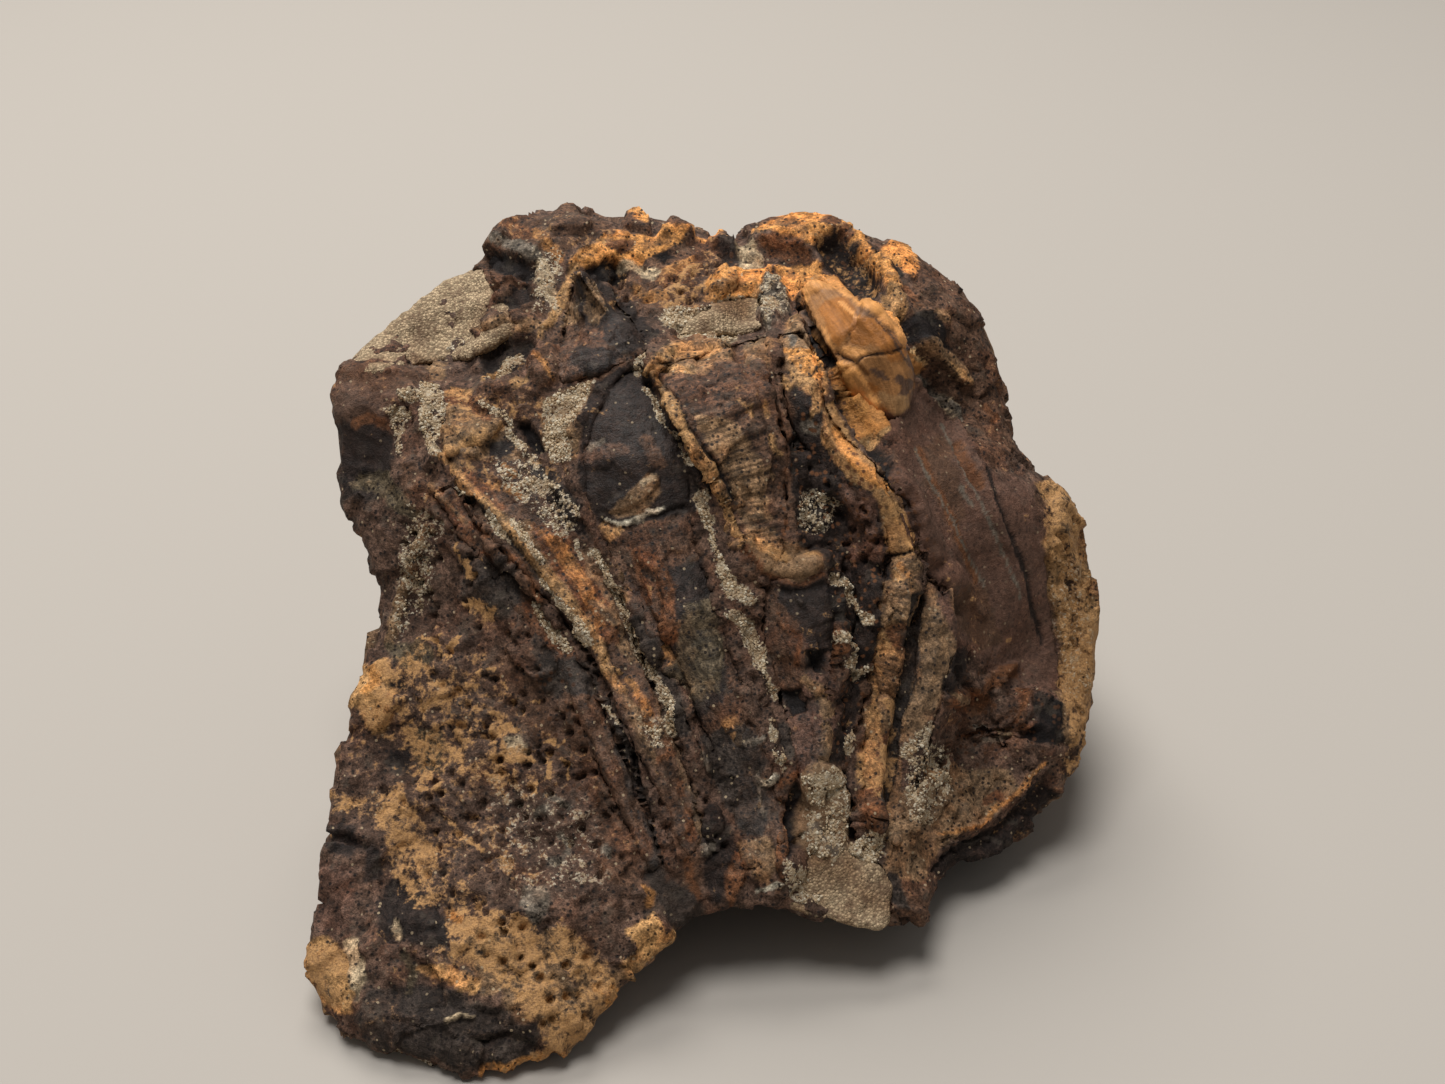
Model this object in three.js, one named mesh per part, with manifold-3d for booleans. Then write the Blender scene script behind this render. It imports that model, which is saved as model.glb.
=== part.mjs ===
// A broken piece of a hadrosaur's jaw: the jaw bone with the curved tooth files of its dental battery
// let into one broken face, and the sandstone that still fills three of its hollows.
// Millimetres, +Z up. The origin is on the ground under the middle of the part.
//
// Most points are given on the tooth face, a plane that leans back over the ground:
// [across, up the slope, depth into the jaw], counted from the middle of that face.

import * as THREE from "three";
import { mergeVertices } from "three/addons/utils/BufferGeometryUtils.js";
import Module from "manifold-3d";

const wasm = await Module();
wasm.setup();

// ---- Driving dimensions

const FACE_LEAN = THREE.MathUtils.degToRad(30);
const FACE_MIDDLE = new THREE.Vector3(0.3, -4.8, 36); // the middle of the tooth face
const BACK_WALL = 41; // how far behind the middle of the face the jaw is broken off
const BACK_SLANT = 0.16; // how far the broken back leans in for each millimetre down
const BACK_DEPTH = 62; // how deep the rounded body would reach without that break
const GAP = 0.3; // clearance between neighbouring pieces
const FACE_SQUARENESS = 7; // how sharply the face turns over at its rim
const BACK_SQUARENESS = 4;
const FACE_ROUGHNESS = 0.55; // how rough the face is beside the broken back
const BODY_DETAIL = 11; // subdivisions of the balls that the body, its lobes and its knobs are shaped from
const LOBE_DETAIL = 3;
const KNOB_DETAIL = 1;
const TOOTH_STEP = 3.1; // distance between stations along a tooth
const TOOTH_RISE = 0.25; // how far a tooth's shoulders lie above the bone
const STONE_TAPER = 0.012; // how much narrower a sandstone filling gets for each millimetre inwards
const STONE_OVERSHOOT = 20; // how far its outline is carried out past the face before it is trimmed
const BREAK_SPAN = 120; // size of the block that a break takes away

// Unevenness: the size of its lumps and how high they are.
const BODY_LUMPS = { size: 11, height: 1.5 };
const BODY_CHIPS = { size: 5, height: 0.8 };
const BACK_LUMPS = { size: 12, height: 2.2 };
const LOBE_LUMPS = { size: 4, height: 0.3 }; // height as a share of the lobe
const TOOTH_CHIPS = { size: 2.5, height: 0.35 };

// The jaw stands on worn spots of its base: [x, y, radius].
const FEET = [
  [-25.5, -33.5, 13],
  [-22, 17.5, 14],
  [20, 21.5, 15],
  [11, -0.5, 9],
];
const BASE_HOLLOW = 2.4; // how far the base is hollowed between those spots
const BASE_SLOPE = 7; // width of the slope from a worn spot to the hollow

// The rim of the face side, anticlockwise seen from the front.
const RIM_CENTRE = [-2, -8];
const RIM = [
  [-26.5, 31.5, 24], [-27, 29.5, 22], [-31, 28.5, 21], [-34.5, 26.5, 19], [-36.5, 23, 16],
  [-39.5, 18.5, 12], [-41, 16.5, 9], [-41.5, 14.5, 8], [-40, 10.5, 8], [-39, 4.5, 7],
  [-36.5, -1, 6], [-34.5, -6, 5], [-35.5, -10, 3], [-35.5, -12.5, 2], [-37.5, -17, 0],
  [-39, -24.5, -3], [-39, -30, -5], [-39.5, -37.5, -6], [-40.5, -42.5, -8], [-39, -45, -10],
  [-35, -47.5, -12], [-29.5, -49, -13], [-21.5, -50, -14], [-18, -49, -14], [-13.5, -47.5, -13],
  [-10, -42.5, -10], [-8, -40.5, -9], [-5, -37.5, -9], [-1, -35, -8], [1.5, -34.5, -8],
  [7.5, -35.5, -7], [13, -37, -7], [17.5, -38, -6], [21.5, -36, -4], [20.5, -34, -2],
  [21, -33, 1], [24, -33, 3], [28.5, -32, 6], [32, -30, 8], [33.5, -28, 10],
  [36.5, -28, 12], [39, -22.5, 14], [40, -17, 15], [40, -12.5, 16], [40.5, -6.5, 17],
  [39.5, -1, 18], [38.5, 3.5, 19], [37, 6, 20], [32, 8.5, 18], [31.5, 11, 19],
  [30.5, 17, 19], [29, 23.5, 19], [25.5, 27.5, 20], [22.5, 30.5, 22], [20.5, 33, 24],
  [16, 33.5, 22], [12.5, 36, 23], [8.5, 36.5, 24], [4.5, 35.5, 24], [2.5, 32.5, 24],
  [0.5, 34, 26], [-5.5, 35.5, 27], [-9.5, 37, 28], [-14, 36, 27], [-17.5, 38, 27],
  [-20, 37, 27], [-25.5, 35.5, 26],
];

// How deep the face lies inside that rim, and how far each of these points blends into the next.
const FACE_BLEND = 2.5;
const FACE = [
  [-29, 22.5, 15], [-33, 14.5, 4], [-37.5, 9.5, 5], [-20.5, 14.5, 2], [-28.5, 4, 1],
  [-32.5, -6, 3], [-27, -15.5, -2], [-34, -21.5, 0], [-21.5, -25, -5], [-31.5, -30, -5],
  [-30.5, -39, -12], [-21, -38.5, -13], [-12, -39.5, -11], [-36.5, -41, -10], [-25.5, -45.5, -18],
  [-33, -42.5, -15], [-15, -43.5, -16],
  [-12, 4, -1], [-2, 9, -2], [3.5, 14, -1], [-8, -5.5, -2], [0, -5.5, -3],
  [7.5, -5.5, -3], [-2, -20, -5], [7.5, -25, -4], [2.5, -31.5, -7], [13.5, -34, -5],
  [15.5, 4, -1], [17.5, -5.5, -1], [20.5, -15.5, 1], [24, 4.5, 4], [28.5, -6, 7],
  [34, -11.5, 12], [28.5, -18.5, 8], [22, -29, 2], [29.5, -26.5, 6], [13, 19.5, 3],
  [18, 17.5, 6], [24.5, 16, 14], [10.5, 29, 15], [-2.5, 24, 9], [2, 28, 16],
  [-9, 28, 17], [-16, 25.5, 13], [-8.5, 18.5, 3], [-22, 21, 10],
];

// Rocky lobes of bone that rise behind the face: middle [across, up, depth] and radii.
const LOBES = [
  { at: [-19.5, 31.5, 30], radii: [7.5, 5, 7] },
  { at: [-9, 31.5, 30], radii: [7, 4, 6] },
  { at: [-4, 26.5, 17], radii: [8, 3.6, 4] },
  { at: [11, 32, 26], radii: [6.5, 3.8, 6] },
  { at: [24, 22.5, 25], radii: [5.5, 6.5, 7] },
  { at: [26.5, 12, 28], radii: [4.8, 8.5, 10] },
];

// Small knobs on the top and the cheek.
const KNOBS = [
  { at: [-17.3, 35, 28], radii: [2.4, 3.2, 4.2] },
  { at: [-9.5, 34.4, 29], radii: [2.6, 2.6, 4] },
  { at: [-4, 33, 27], radii: [3, 2.6, 4.4] },
  { at: [17.4, 30.8, 21], radii: [3.2, 2.4, 4.4] },
  { at: [24, 18.4, 18], radii: [2.6, 3.6, 4] },
];

// The teeth: each follows [across, up, half width, how proud it stands] down the face.
// ridge is where its keel runs, from -1 at its left edge to 1 at its right.
const TEETH = [
  { name: "tooth_1", ridge: -0.2, root: 5, colour: "umber",
    path: [[-28, 5, 0.8, 0.6], [-22.6, -2.5, 1, 0.9], [-17.6, -8.5, 1.1, 1], [-13.6, -14.5, 1.1, 0.9],
      [-10.3, -22, 1, 0.8], [-6.4, -31, 0.8, 0.6]] },
  { name: "tooth_2", ridge: -0.8, root: 6, colour: "ochre",
    path: [[-24.5, 10, 3.6, 1.4], [-20.4, 3.6, 4, 2], [-15.8, -2.6, 3.3, 2.1], [-11.6, -8.7, 2.5, 1.9],
      [-8.4, -15.6, 1.9, 1.6], [-5.4, -21.5, 1.7, 1.3], [-2.4, -29.5, 1.1, 0.9]] },
  { name: "tooth_3", ridge: 0.1, root: 6, colour: "slate",
    path: [[-6.7, 17.2, 2.4, 0.8], [-7.7, 13.7, 4.2, 1.3], [-8.6, 9, 5, 1.6], [-8.2, 4, 5, 1.6],
      [-6.4, -1.8, 4.2, 1.6], [-3.3, -8.8, 3.3, 1.7], [-0.6, -14.6, 2.9, 1.6], [1.8, -20.4, 2.5, 1.4],
      [3.2, -25.4, 2.2, 1.2], [3.8, -31, 1.7, 1]] },
  { name: "tooth_4", ridge: -0.85, root: 6, colour: "amber",
    path: [[-1.8, 19, 5.2, 3.2], [0.2, 13.4, 5, 3], [2.6, 7.4, 3.8, 2.6], [3.8, 2, 2.6, 2],
      [4.2, -1.8, 1.6, 1.2]] },
  { name: "tooth_5", ridge: 0.3, root: 5, colour: "umber",
    path: [[6.9, -3.4, 3.2, 1.3], [7.7, -8, 3.6, 1.9], [8, -13.6, 2.8, 1.7], [8.4, -19.5, 1.5, 1.2],
      [8, -23, 0.8, 0.8]] },
  { name: "tooth_6", ridge: 0.3, root: 6, colour: "ochre",
    path: [[7, 21.4, 1.1, 1.6], [8, 16.8, 1.9, 1.9], [8.6, 12.6, 1.7, 1.8], [10.6, 9.4, 1.8, 1.8],
      [13.9, 6.3, 1.8, 1.8], [17, 3.1, 1.7, 1.7], [18.3, -1, 1.6, 1.6], [17.6, -6, 1.8, 1.6],
      [16.5, -10.6, 1.6, 1.6], [15.6, -15.6, 1.3, 1.4], [15, -21, 1.2, 1.2], [14.5, -27.5, 0.9, 0.8]] },
  { name: "tooth_7", ridge: 0.2, root: 5, colour: "slate",
    path: [[21.6, -4.4, 1.4, 0.8], [21, -9.6, 2.4, 1.4], [19.7, -15.2, 2.5, 1.5], [18.3, -20.4, 2.1, 1.3],
      [17, -26, 1.5, 0.9], [16.4, -29.5, 0.9, 0.6]] },
  { name: "tooth_8", ridge: 0.4, root: 5, colour: "amber",
    path: [[9, 27.4, 1.2, 1.2], [10.8, 24.6, 2.9, 1.8], [13.8, 20.6, 3.7, 2.2], [16, 17.2, 3.7, 2.2],
      [17.2, 14.6, 2.5, 1.8], [17.9, 12.8, 1, 1.2]] },
  { name: "tooth_9", ridge: -0.6, root: 7, colour: "umber",
    path: [[-11.9, 17.4, 4.6, 1.2], [-12.8, 20.8, 4.4, 3.2], [-14, 24.2, 2.8, 5], [-15.3, 27.9, 0.6, 6]] },
];

// Grooves where the infill has weathered away, each [across, up, half width, depth].
const GROOVES = [
  { name: "porous_groove",
    path: [[6.8, 15, 1, 1.2], [9.2, 8.4, 2, 1.9], [12, 2, 2.6, 2], [13.2, -5, 2.6, 2],
      [12.9, -12, 2.2, 1.9], [12, -19, 1.5, 1.6], [11.6, -24, 1, 1.2]] },
  { name: "crown_groove",
    path: [[7.6, 25.6, 0.6, 1.6], [9.4, 20.6, 0.9, 2.4], [12.3, 14.9, 0.9, 2.4], [16.6, 8, 0.8, 1.8],
      [20.4, 2, 0.6, 1.4]] },
  { name: "left_groove",
    path: [[-16, 4, 0.7, 1], [-11.8, -3.2, 1, 1.6], [-7.4, -11.5, 1, 1.6], [-3.2, -21, 0.8, 1.4],
      [0, -30, 0.7, 1]] },
  { name: "sand_groove",
    path: [[-3, 11, 0.7, 1.2], [-0.5, 2, 1, 1.5], [1.5, -6.5, 1.2, 1.6], [4.2, -14.5, 1, 1.4],
      [5.6, -22, 0.8, 1.2]] },
];

// Flat breaks on the hidden sides: a point [x, y, z] on each and the way it faces.
const BREAKS = [
  { at: [-25, 36, 20], facing: [-0.75, 0.65, 0.1] },
  { at: [30, 34.5, 10], facing: [0.65, 0.55, -0.5] },
  { at: [0, 40, 46], facing: [0.12, 0.93, 0.33] },
  { at: [-36, -1.5, 4], facing: [-0.8, 0.1, -0.55] },
  { at: [35.5, 5.5, 5], facing: [0.75, -0.1, -0.6] },
];

// Hollows that open on the face: middle [across, up, depth] and radii.
const HOLLOWS = [
  { at: [28.5, -19, 3.5], radii: [6, 4.4, 6.5] },
  { at: [11, -15.5, -4.5], radii: [1.5, 2.2, 5] },
];

// Sandstone left in the hollows: its outline [across, up] on the face, and the depths it lies between.
const SANDSTONE = [
  { name: "sandstone_rear", depth: [4, 26],
    outline: [[-44, 17.5], [-36, 17], [-31.5, 18.5], [-26, 19], [-20, 22.5], [-23, 26.5], [-25, 31],
      [-29, 33], [-38, 30], [-44, 22]] },
  { name: "sandstone_top", depth: [-2, 15],
    outline: [[-6.4, 21], [-3, 24], [2, 26.5], [5.2, 26.8], [6.2, 23.5], [3.5, 21.8], [-1, 21.4]] },
  { name: "sandstone_base", depth: [-14, 4],
    outline: [[9.4, -22.5], [11.8, -22.2], [13, -26], [12.6, -30.6], [15.8, -31.4], [17, -34],
      [16.6, -37.4], [13.6, -40], [8.6, -39], [5.6, -35.6], [5.8, -33.4], [8.2, -30], [9.6, -26.6]] },
];

// Colours and finishes, one per slot.
const FINISH = {
  bone: { color: 0x4a3a33, roughness: 0.72 },
  umber: { color: 0x5b4438, roughness: 0.6 },
  ochre: { color: 0xa8794f, roughness: 0.68 },
  slate: { color: 0x3a3331, roughness: 0.5 },
  amber: { color: 0xb07a42, roughness: 0.55 },
  sandstone: { color: 0x94806a, roughness: 0.95 },
};

// ---- The face's own axes

const ACROSS = new THREE.Vector3(1, 0, 0);
const UP_SLOPE = new THREE.Vector3(0, Math.sin(FACE_LEAN), Math.cos(FACE_LEAN));
const OUT = new THREE.Vector3(0, -Math.cos(FACE_LEAN), Math.sin(FACE_LEAN));

function onFace(across, up, depth) {
  return FACE_MIDDLE.clone()
    .addScaledVector(ACROSS, across)
    .addScaledVector(UP_SLOPE, up)
    .addScaledVector(OUT, -depth);
}

// ---- Noise: smooth, repeatable unevenness between -1 and 1

function corner(i, j, k) {
  const mixed = Math.sin(i * 127.1 + j * 311.7 + k * 74.7) * 43758.5453;
  return 2 * (mixed - Math.floor(mixed)) - 1;
}

function unevenness(point, { size, height }) {
  const scaled = [point.x / size, point.y / size, point.z / size];
  const cell = scaled.map(Math.floor);
  const [x, y, z] = scaled.map((s, n) => THREE.MathUtils.smoothstep(s - cell[n], 0, 1));
  const { lerp } = THREE.MathUtils;
  const row = (j, k) => lerp(corner(cell[0], j, k), corner(cell[0] + 1, j, k), x);
  const sheet = (k) => lerp(row(cell[1], k), row(cell[1] + 1, k), y);
  return height * lerp(sheet(cell[2]), sheet(cell[2] + 1), z);
}

// ---- Solids

function solidOf(geometry) {
  const bare = geometry.clone();
  bare.deleteAttribute("normal");
  bare.deleteAttribute("uv");
  const merged = mergeVertices(bare, 1e-4);
  const triVerts = new Uint32Array(merged.index.array);
  const vertProperties = merged.attributes.position.array;
  return new wasm.Manifold(new wasm.Mesh({ numProp: 3, vertProperties, triVerts }));
}

function geometryOf(solid) {
  const mesh = solid.getMesh();
  return new THREE.BufferGeometry()
    .setAttribute("position", new THREE.BufferAttribute(mesh.vertProperties, 3))
    .setIndex(new THREE.BufferAttribute(mesh.triVerts, 1));
}

// The largest closed body of a cut solid, without the crumbs that the cut leaves.
function mainBody(solid) {
  return solid.decompose().reduce((most, one) => (one.volume() > most.volume() ? one : most));
}

function moveVertices(geometry, move) {
  const position = geometry.attributes.position;
  const point = new THREE.Vector3();
  for (let n = 0; n < position.count; n++) {
    point.fromBufferAttribute(position, n);
    const moved = move(point);
    position.setXYZ(n, moved.x, moved.y, moved.z);
  }
  return geometry;
}

// ---- The bone

// A place on the face as an angle and a distance from the middle of the rim.
function polar(across, up) {
  const [right, over] = [across - RIM_CENTRE[0], up - RIM_CENTRE[1]];
  return { angle: Math.atan2(over, right), radius: Math.hypot(right, over) };
}

const rimByAngle = RIM.map(([across, up, depth]) => ({ ...polar(across, up), depth }))
  .sort((one, other) => one.angle - other.angle);

function rimAt(angle) {
  const after = rimByAngle.findIndex((one) => one.angle > angle);
  const next = rimByAngle[after < 0 ? 0 : after];
  const last = rimByAngle.at(after < 0 ? -1 : after - 1);
  const turn = 2 * Math.PI;
  const span = (next.angle - last.angle + turn) % turn;
  const share = ((angle - last.angle + turn) % turn) / span;
  const { lerp } = THREE.MathUtils;
  return { radius: lerp(last.radius, next.radius, share), depth: lerp(last.depth, next.depth, share) };
}

// The face's depth at a place inside the rim, weighed from the points around it.
function faceDepth(across, up) {
  let sum = 0;
  let weights = 0;
  for (const [a, u, depth] of FACE) {
    const weight = 1 / ((across - a) ** 2 + (up - u) ** 2 + FACE_BLEND ** 2) ** 2;
    sum += weight * depth;
    weights += weight;
  }
  return sum / weights;
}

// The smooth depth of the surface at a place, where share is how near it is to the rim, from 0 to 1.
function surfaceDepth(across, up, share, front, rimDepth) {
  const squareness = front ? FACE_SQUARENESS : BACK_SQUARENESS;
  const inner = front ? faceDepth(across, up) : BACK_DEPTH;
  return rimDepth + (inner - rimDepth) * Math.sqrt(Math.max(0, 1 - share ** squareness));
}

// The roughness on top of it: none at the rim, and less on the face than on the back.
function roughnessAt(place, share, front) {
  const strength = front ? FACE_ROUGHNESS * (1 - share ** 8) : 1 - share ** 12;
  return strength * (unevenness(place, BODY_LUMPS) + unevenness(place, BODY_CHIPS));
}

// The depth of the finished face.
function frontDepth(across, up) {
  const { angle, radius } = polar(across, up);
  const rim = rimAt(angle);
  const share = Math.min(1, radius / rim.radius);
  const depth = surfaceDepth(across, up, share, true, rim.depth);
  return depth - roughnessAt(onFace(across, up, depth), share, true);
}

// The ground's side of the base: flat under the worn spots, and hollow between them.
function baseHeight(x, y) {
  const away = Math.min(...FEET.map(([fx, fy, radius]) => Math.hypot(x - fx, y - fy) - radius));
  return BASE_HOLLOW * THREE.MathUtils.smoothstep(away, 0, BASE_SLOPE);
}

// The body starts as a ball: its equator becomes the rim, and its halves the face and the back.
function bodyGeometry() {
  return moveVertices(new THREE.IcosahedronGeometry(1, BODY_DETAIL), (direction) => {
    const share = Math.min(1, Math.hypot(direction.x, direction.y));
    const rim = rimAt(Math.atan2(direction.y, direction.x));
    const across = RIM_CENTRE[0] + rim.radius * direction.x;
    const up = RIM_CENTRE[1] + rim.radius * direction.y;
    const front = direction.z > 0;
    const place = onFace(across, up, surfaceDepth(across, up, share, front, rim.depth));
    const rough = roughnessAt(place, share, front);
    place.addScaledVector(ACROSS, rough * direction.x)
      .addScaledVector(UP_SLOPE, rough * direction.y)
      .addScaledVector(OUT, rough * direction.z);
    const backWall = BACK_WALL - BACK_SLANT * (FACE_MIDDLE.z - place.z);
    place.y = Math.min(place.y, FACE_MIDDLE.y + backWall + unevenness(place, BACK_LUMPS));
    place.z = Math.max(place.z, baseHeight(place.x, place.y));
    return place;
  });
}

function lobeGeometry({ at, radii }, detail) {
  const middle = onFace(...at);
  return moveVertices(new THREE.IcosahedronGeometry(1, detail), (direction) => {
    const place = middle.clone()
      .addScaledVector(ACROSS, direction.x * radii[0])
      .addScaledVector(UP_SLOPE, direction.y * radii[1])
      .addScaledVector(OUT, direction.z * radii[2]);
    return place.sub(middle).multiplyScalar(1 + unevenness(place, LOBE_LUMPS)).add(middle);
  });
}

// What a break takes away: a block whose near side is the broken face.
function breakGeometry({ at, facing }) {
  const away = new THREE.Vector3(...facing).normalize();
  const turn = new THREE.Quaternion().setFromUnitVectors(new THREE.Vector3(0, 0, 1), away);
  return new THREE.BoxGeometry(BREAK_SPAN, BREAK_SPAN, BREAK_SPAN)
    .translate(0, 0, BREAK_SPAN / 2)
    .applyQuaternion(turn)
    .translate(...at);
}

// ---- The teeth

function shapeOf(outline) {
  return new THREE.Shape(outline.map(([x, y]) => new THREE.Vector2(x, y)));
}

// A tooth's section: across from -1 to 1, and out from -1 at the root through 0 at the shoulders to 1
// at the keel.
function toothSection(ridge) {
  const root = [[-1, 0], [-0.72, -1], [0.72, -1], [1, 0]];
  const crown = [[ridge / 2 + 0.56, 0.62], [ridge, 1], [ridge / 2 - 0.55, 0.66]];
  return shapeOf([...root, ...crown]);
}

function pathCurves(path) {
  return {
    line: new THREE.CatmullRomCurve3(path.map(([across, up]) => new THREE.Vector3(across, up, 0))),
    size: new THREE.CatmullRomCurve3(path.map(([, , half, height]) => new THREE.Vector3(half, height, 0))),
  };
}

function bar(section, line) {
  const steps = Math.ceil(line.getLength() / TOOTH_STEP);
  return new THREE.ExtrudeGeometry(section, { depth: 1, steps, bevelEnabled: false });
}

function toothGeometry({ path, ridge, root }, grow = 0) {
  const { line, size } = pathCurves(path);
  const block = bar(toothSection(ridge), line);
  return moveVertices(block, ({ x, y, z }) => {
    const heading = line.getTangent(z);
    const along = line.getPoint(z).addScaledVector(heading, grow * (2 * z - 1));
    const [half, proud] = size.getPoint(z).toArray();
    const rough = unevenness(new THREE.Vector3(along.x + 3 * x, along.y, 7 * y), TOOTH_CHIPS);
    const side = x * (half + grow);
    const lift = y < 0 ? y * (root + grow) : y * (proud + grow) + rough;
    const depth = frontDepth(along.x, along.y) - lift - TOOTH_RISE;
    return onFace(along.x - heading.y * side, along.y + heading.x * side, depth);
  });
}

// A groove's cutter: a V below the face and a wide opening above it.
function grooveGeometry({ path }) {
  const { line, size } = pathCurves(path);
  return moveVertices(bar(shapeOf([[-1.6, 1], [0, -1], [1.6, 1]]), line), ({ x, y, z }) => {
    const heading = line.getTangent(z);
    const along = line.getPoint(z);
    const [half, deep] = size.getPoint(z).toArray();
    const side = x * half;
    const depth = frontDepth(along.x, along.y) - y * deep;
    return onFace(along.x - heading.y * side, along.y + heading.x * side, depth);
  });
}

// ---- The sandstone

// A filling's own block, from in front of the face to its floor, before the body's surface trims it.
function stoneGeometry({ outline, depth }, grow = 0) {
  const corners = outline.map(([across, up]) => new THREE.Vector2(across, up));
  const middle = corners.reduce((sum, one) => sum.add(one), new THREE.Vector2());
  middle.divideScalar(corners.length);
  for (const one of corners) {
    one.sub(middle);
    one.setLength(one.length() + grow).add(middle);
  }
  const [near, far] = [depth[0] - STONE_OVERSHOOT, depth[1] + grow];
  const block = new THREE.ExtrudeGeometry(new THREE.Shape(corners), { depth: far - near, bevelEnabled: false });
  return moveVertices(block, ({ x, y, z }) => {
    const taper = 1 - STONE_TAPER * (far - z - depth[0]);
    return onFace(middle.x + (x - middle.x) * taper, middle.y + (y - middle.y) * taper, far - z);
  });
}

// ---- Putting it together

let whole = solidOf(bodyGeometry());
for (const lobe of LOBES) whole = whole.add(solidOf(lobeGeometry(lobe, LOBE_DETAIL)));
for (const knob of KNOBS) whole = whole.add(solidOf(lobeGeometry(knob, KNOB_DETAIL)));
for (const broken of BREAKS) whole = whole.subtract(solidOf(breakGeometry(broken)));
for (const groove of GROOVES) whole = whole.subtract(solidOf(grooveGeometry(groove)));
for (const hollow of HOLLOWS) whole = whole.subtract(solidOf(lobeGeometry(hollow, KNOB_DETAIL)));

const pieces = [];
let bone = whole;
const taken = [];

for (const tooth of TEETH) {
  let solid = solidOf(toothGeometry(tooth));
  for (const other of taken) solid = solid.subtract(other);
  const cut = solidOf(toothGeometry(tooth, GAP));
  bone = bone.subtract(cut);
  taken.push(cut);
  pieces.push({ name: tooth.name, colour: tooth.colour, solid: mainBody(solid) });
}

for (const stone of SANDSTONE) {
  let solid = whole.intersect(solidOf(stoneGeometry(stone)));
  for (const other of taken) solid = solid.subtract(other);
  bone = bone.subtract(solidOf(stoneGeometry(stone, GAP)));
  pieces.push({ name: stone.name, colour: "sandstone", solid: mainBody(solid) });
}
pieces.push({ name: "jaw_bone", colour: "bone", solid: mainBody(bone) });

const jaw = new THREE.Group();
for (const { name, colour, solid } of pieces) {
  const material = new THREE.MeshStandardMaterial({ ...FINISH[colour], metalness: 0 });
  const mesh = new THREE.Mesh(geometryOf(solid), material);
  mesh.name = name;
  jaw.add(mesh);
}

export default jaw;
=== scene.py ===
# %% [markdown]
# # A fossil jaw with its tooth files
#
# A lump of hadrosaur jaw is bone, teeth and sandstone turned to stone together. The solids of the
# jaw bone, the teeth and the fillings come in as a fixed frame. Each gets its finish here: a fine
# mesh that is dug, ridged and pitted in code, coloured by listed marks, and broken up by noise.

# %% Load the frame
import itertools
import math

import bmesh
import bpy
import numpy as np
from mathutils import Matrix, Vector
from mathutils.bvhtree import BVHTree


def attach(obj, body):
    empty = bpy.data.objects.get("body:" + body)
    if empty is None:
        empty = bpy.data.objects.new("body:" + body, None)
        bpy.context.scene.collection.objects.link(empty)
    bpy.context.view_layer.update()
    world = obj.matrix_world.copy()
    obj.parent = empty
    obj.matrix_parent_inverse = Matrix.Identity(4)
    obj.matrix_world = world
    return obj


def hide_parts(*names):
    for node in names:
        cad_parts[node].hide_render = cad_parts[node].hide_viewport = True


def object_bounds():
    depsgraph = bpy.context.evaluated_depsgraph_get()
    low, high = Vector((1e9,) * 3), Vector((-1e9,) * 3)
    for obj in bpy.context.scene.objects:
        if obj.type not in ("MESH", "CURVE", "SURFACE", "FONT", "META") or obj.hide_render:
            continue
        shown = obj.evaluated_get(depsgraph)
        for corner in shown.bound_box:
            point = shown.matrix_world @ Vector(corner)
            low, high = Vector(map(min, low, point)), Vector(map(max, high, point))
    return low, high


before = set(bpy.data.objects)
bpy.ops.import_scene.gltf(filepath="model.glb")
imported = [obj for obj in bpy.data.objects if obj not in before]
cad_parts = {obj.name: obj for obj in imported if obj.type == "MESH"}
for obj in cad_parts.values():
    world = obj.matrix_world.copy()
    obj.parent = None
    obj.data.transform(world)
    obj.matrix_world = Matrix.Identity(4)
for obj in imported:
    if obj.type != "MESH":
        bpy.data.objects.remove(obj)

CAD_BOX = [list(corner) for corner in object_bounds()]
MM = 0.001
print("frame box in mm", [[round(x / MM, 1) for x in corner] for corner in CAD_BOX])

# %% [markdown]
# ## The camera
#
# The jaw is looked at from a little above, square to the face that the teeth run down. The camera
# comes first, because the marks are placed by where it sees them: a place is a pair of pixels in its
# frame, carried along the line of sight to the surface.

# %% Camera
FRAME_SIZE = np.array([1445, 1084])
LENS, SENSOR = 50, 36
NEAR, FAR_OFF = 0.01, 10
EYE = np.array([0.3, -178.0, 136.0]) * MM
LEAN = math.radians(30)
FORWARD = np.array([0, math.cos(LEAN), -math.sin(LEAN)])
UPWARD = np.array([0, math.sin(LEAN), math.cos(LEAN)])
PIXELS_PER_SLOPE = LENS / SENSOR * FRAME_SIZE[0]

camera = bpy.data.objects.new("camera", bpy.data.cameras.new("camera"))
camera.data.lens, camera.data.sensor_width = LENS, SENSOR
camera.data.clip_start, camera.data.clip_end = NEAR, FAR_OFF
camera.location = EYE
camera.rotation_euler = (math.pi / 2 - LEAN, 0, 0)
bpy.context.scene.collection.objects.link(camera)
bpy.context.scene.camera = camera


def sight(places):
    """Where the camera sees these places, in pixels across and down its frame."""
    away = places - EYE
    depth = away @ FORWARD
    across = FRAME_SIZE[0] / 2 + PIXELS_PER_SLOPE * away[:, 0] / depth
    down = FRAME_SIZE[1] / 2 - PIXELS_PER_SLOPE * (away @ UPWARD) / depth
    return np.stack([across, down], 1)


def facing(places, normals):
    """How squarely each place faces the camera: 1 straight at it, below 0 turned away."""
    towards = EYE - places
    return np.sum(normals * towards, 1) / np.linalg.norm(towards, axis=1)


# %% [markdown]
# ## Noise
#
# Stone is never even. Soft random lumps, added up at several sizes, and cells around scattered
# points, for pits and flat broken faces, make nearly all of its texture. Both are worked out from
# the place itself, so that the result is the same on each run.

# %% Soft lumps
CUBE = np.array(list(itertools.product((0, 1), repeat=3)))


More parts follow.
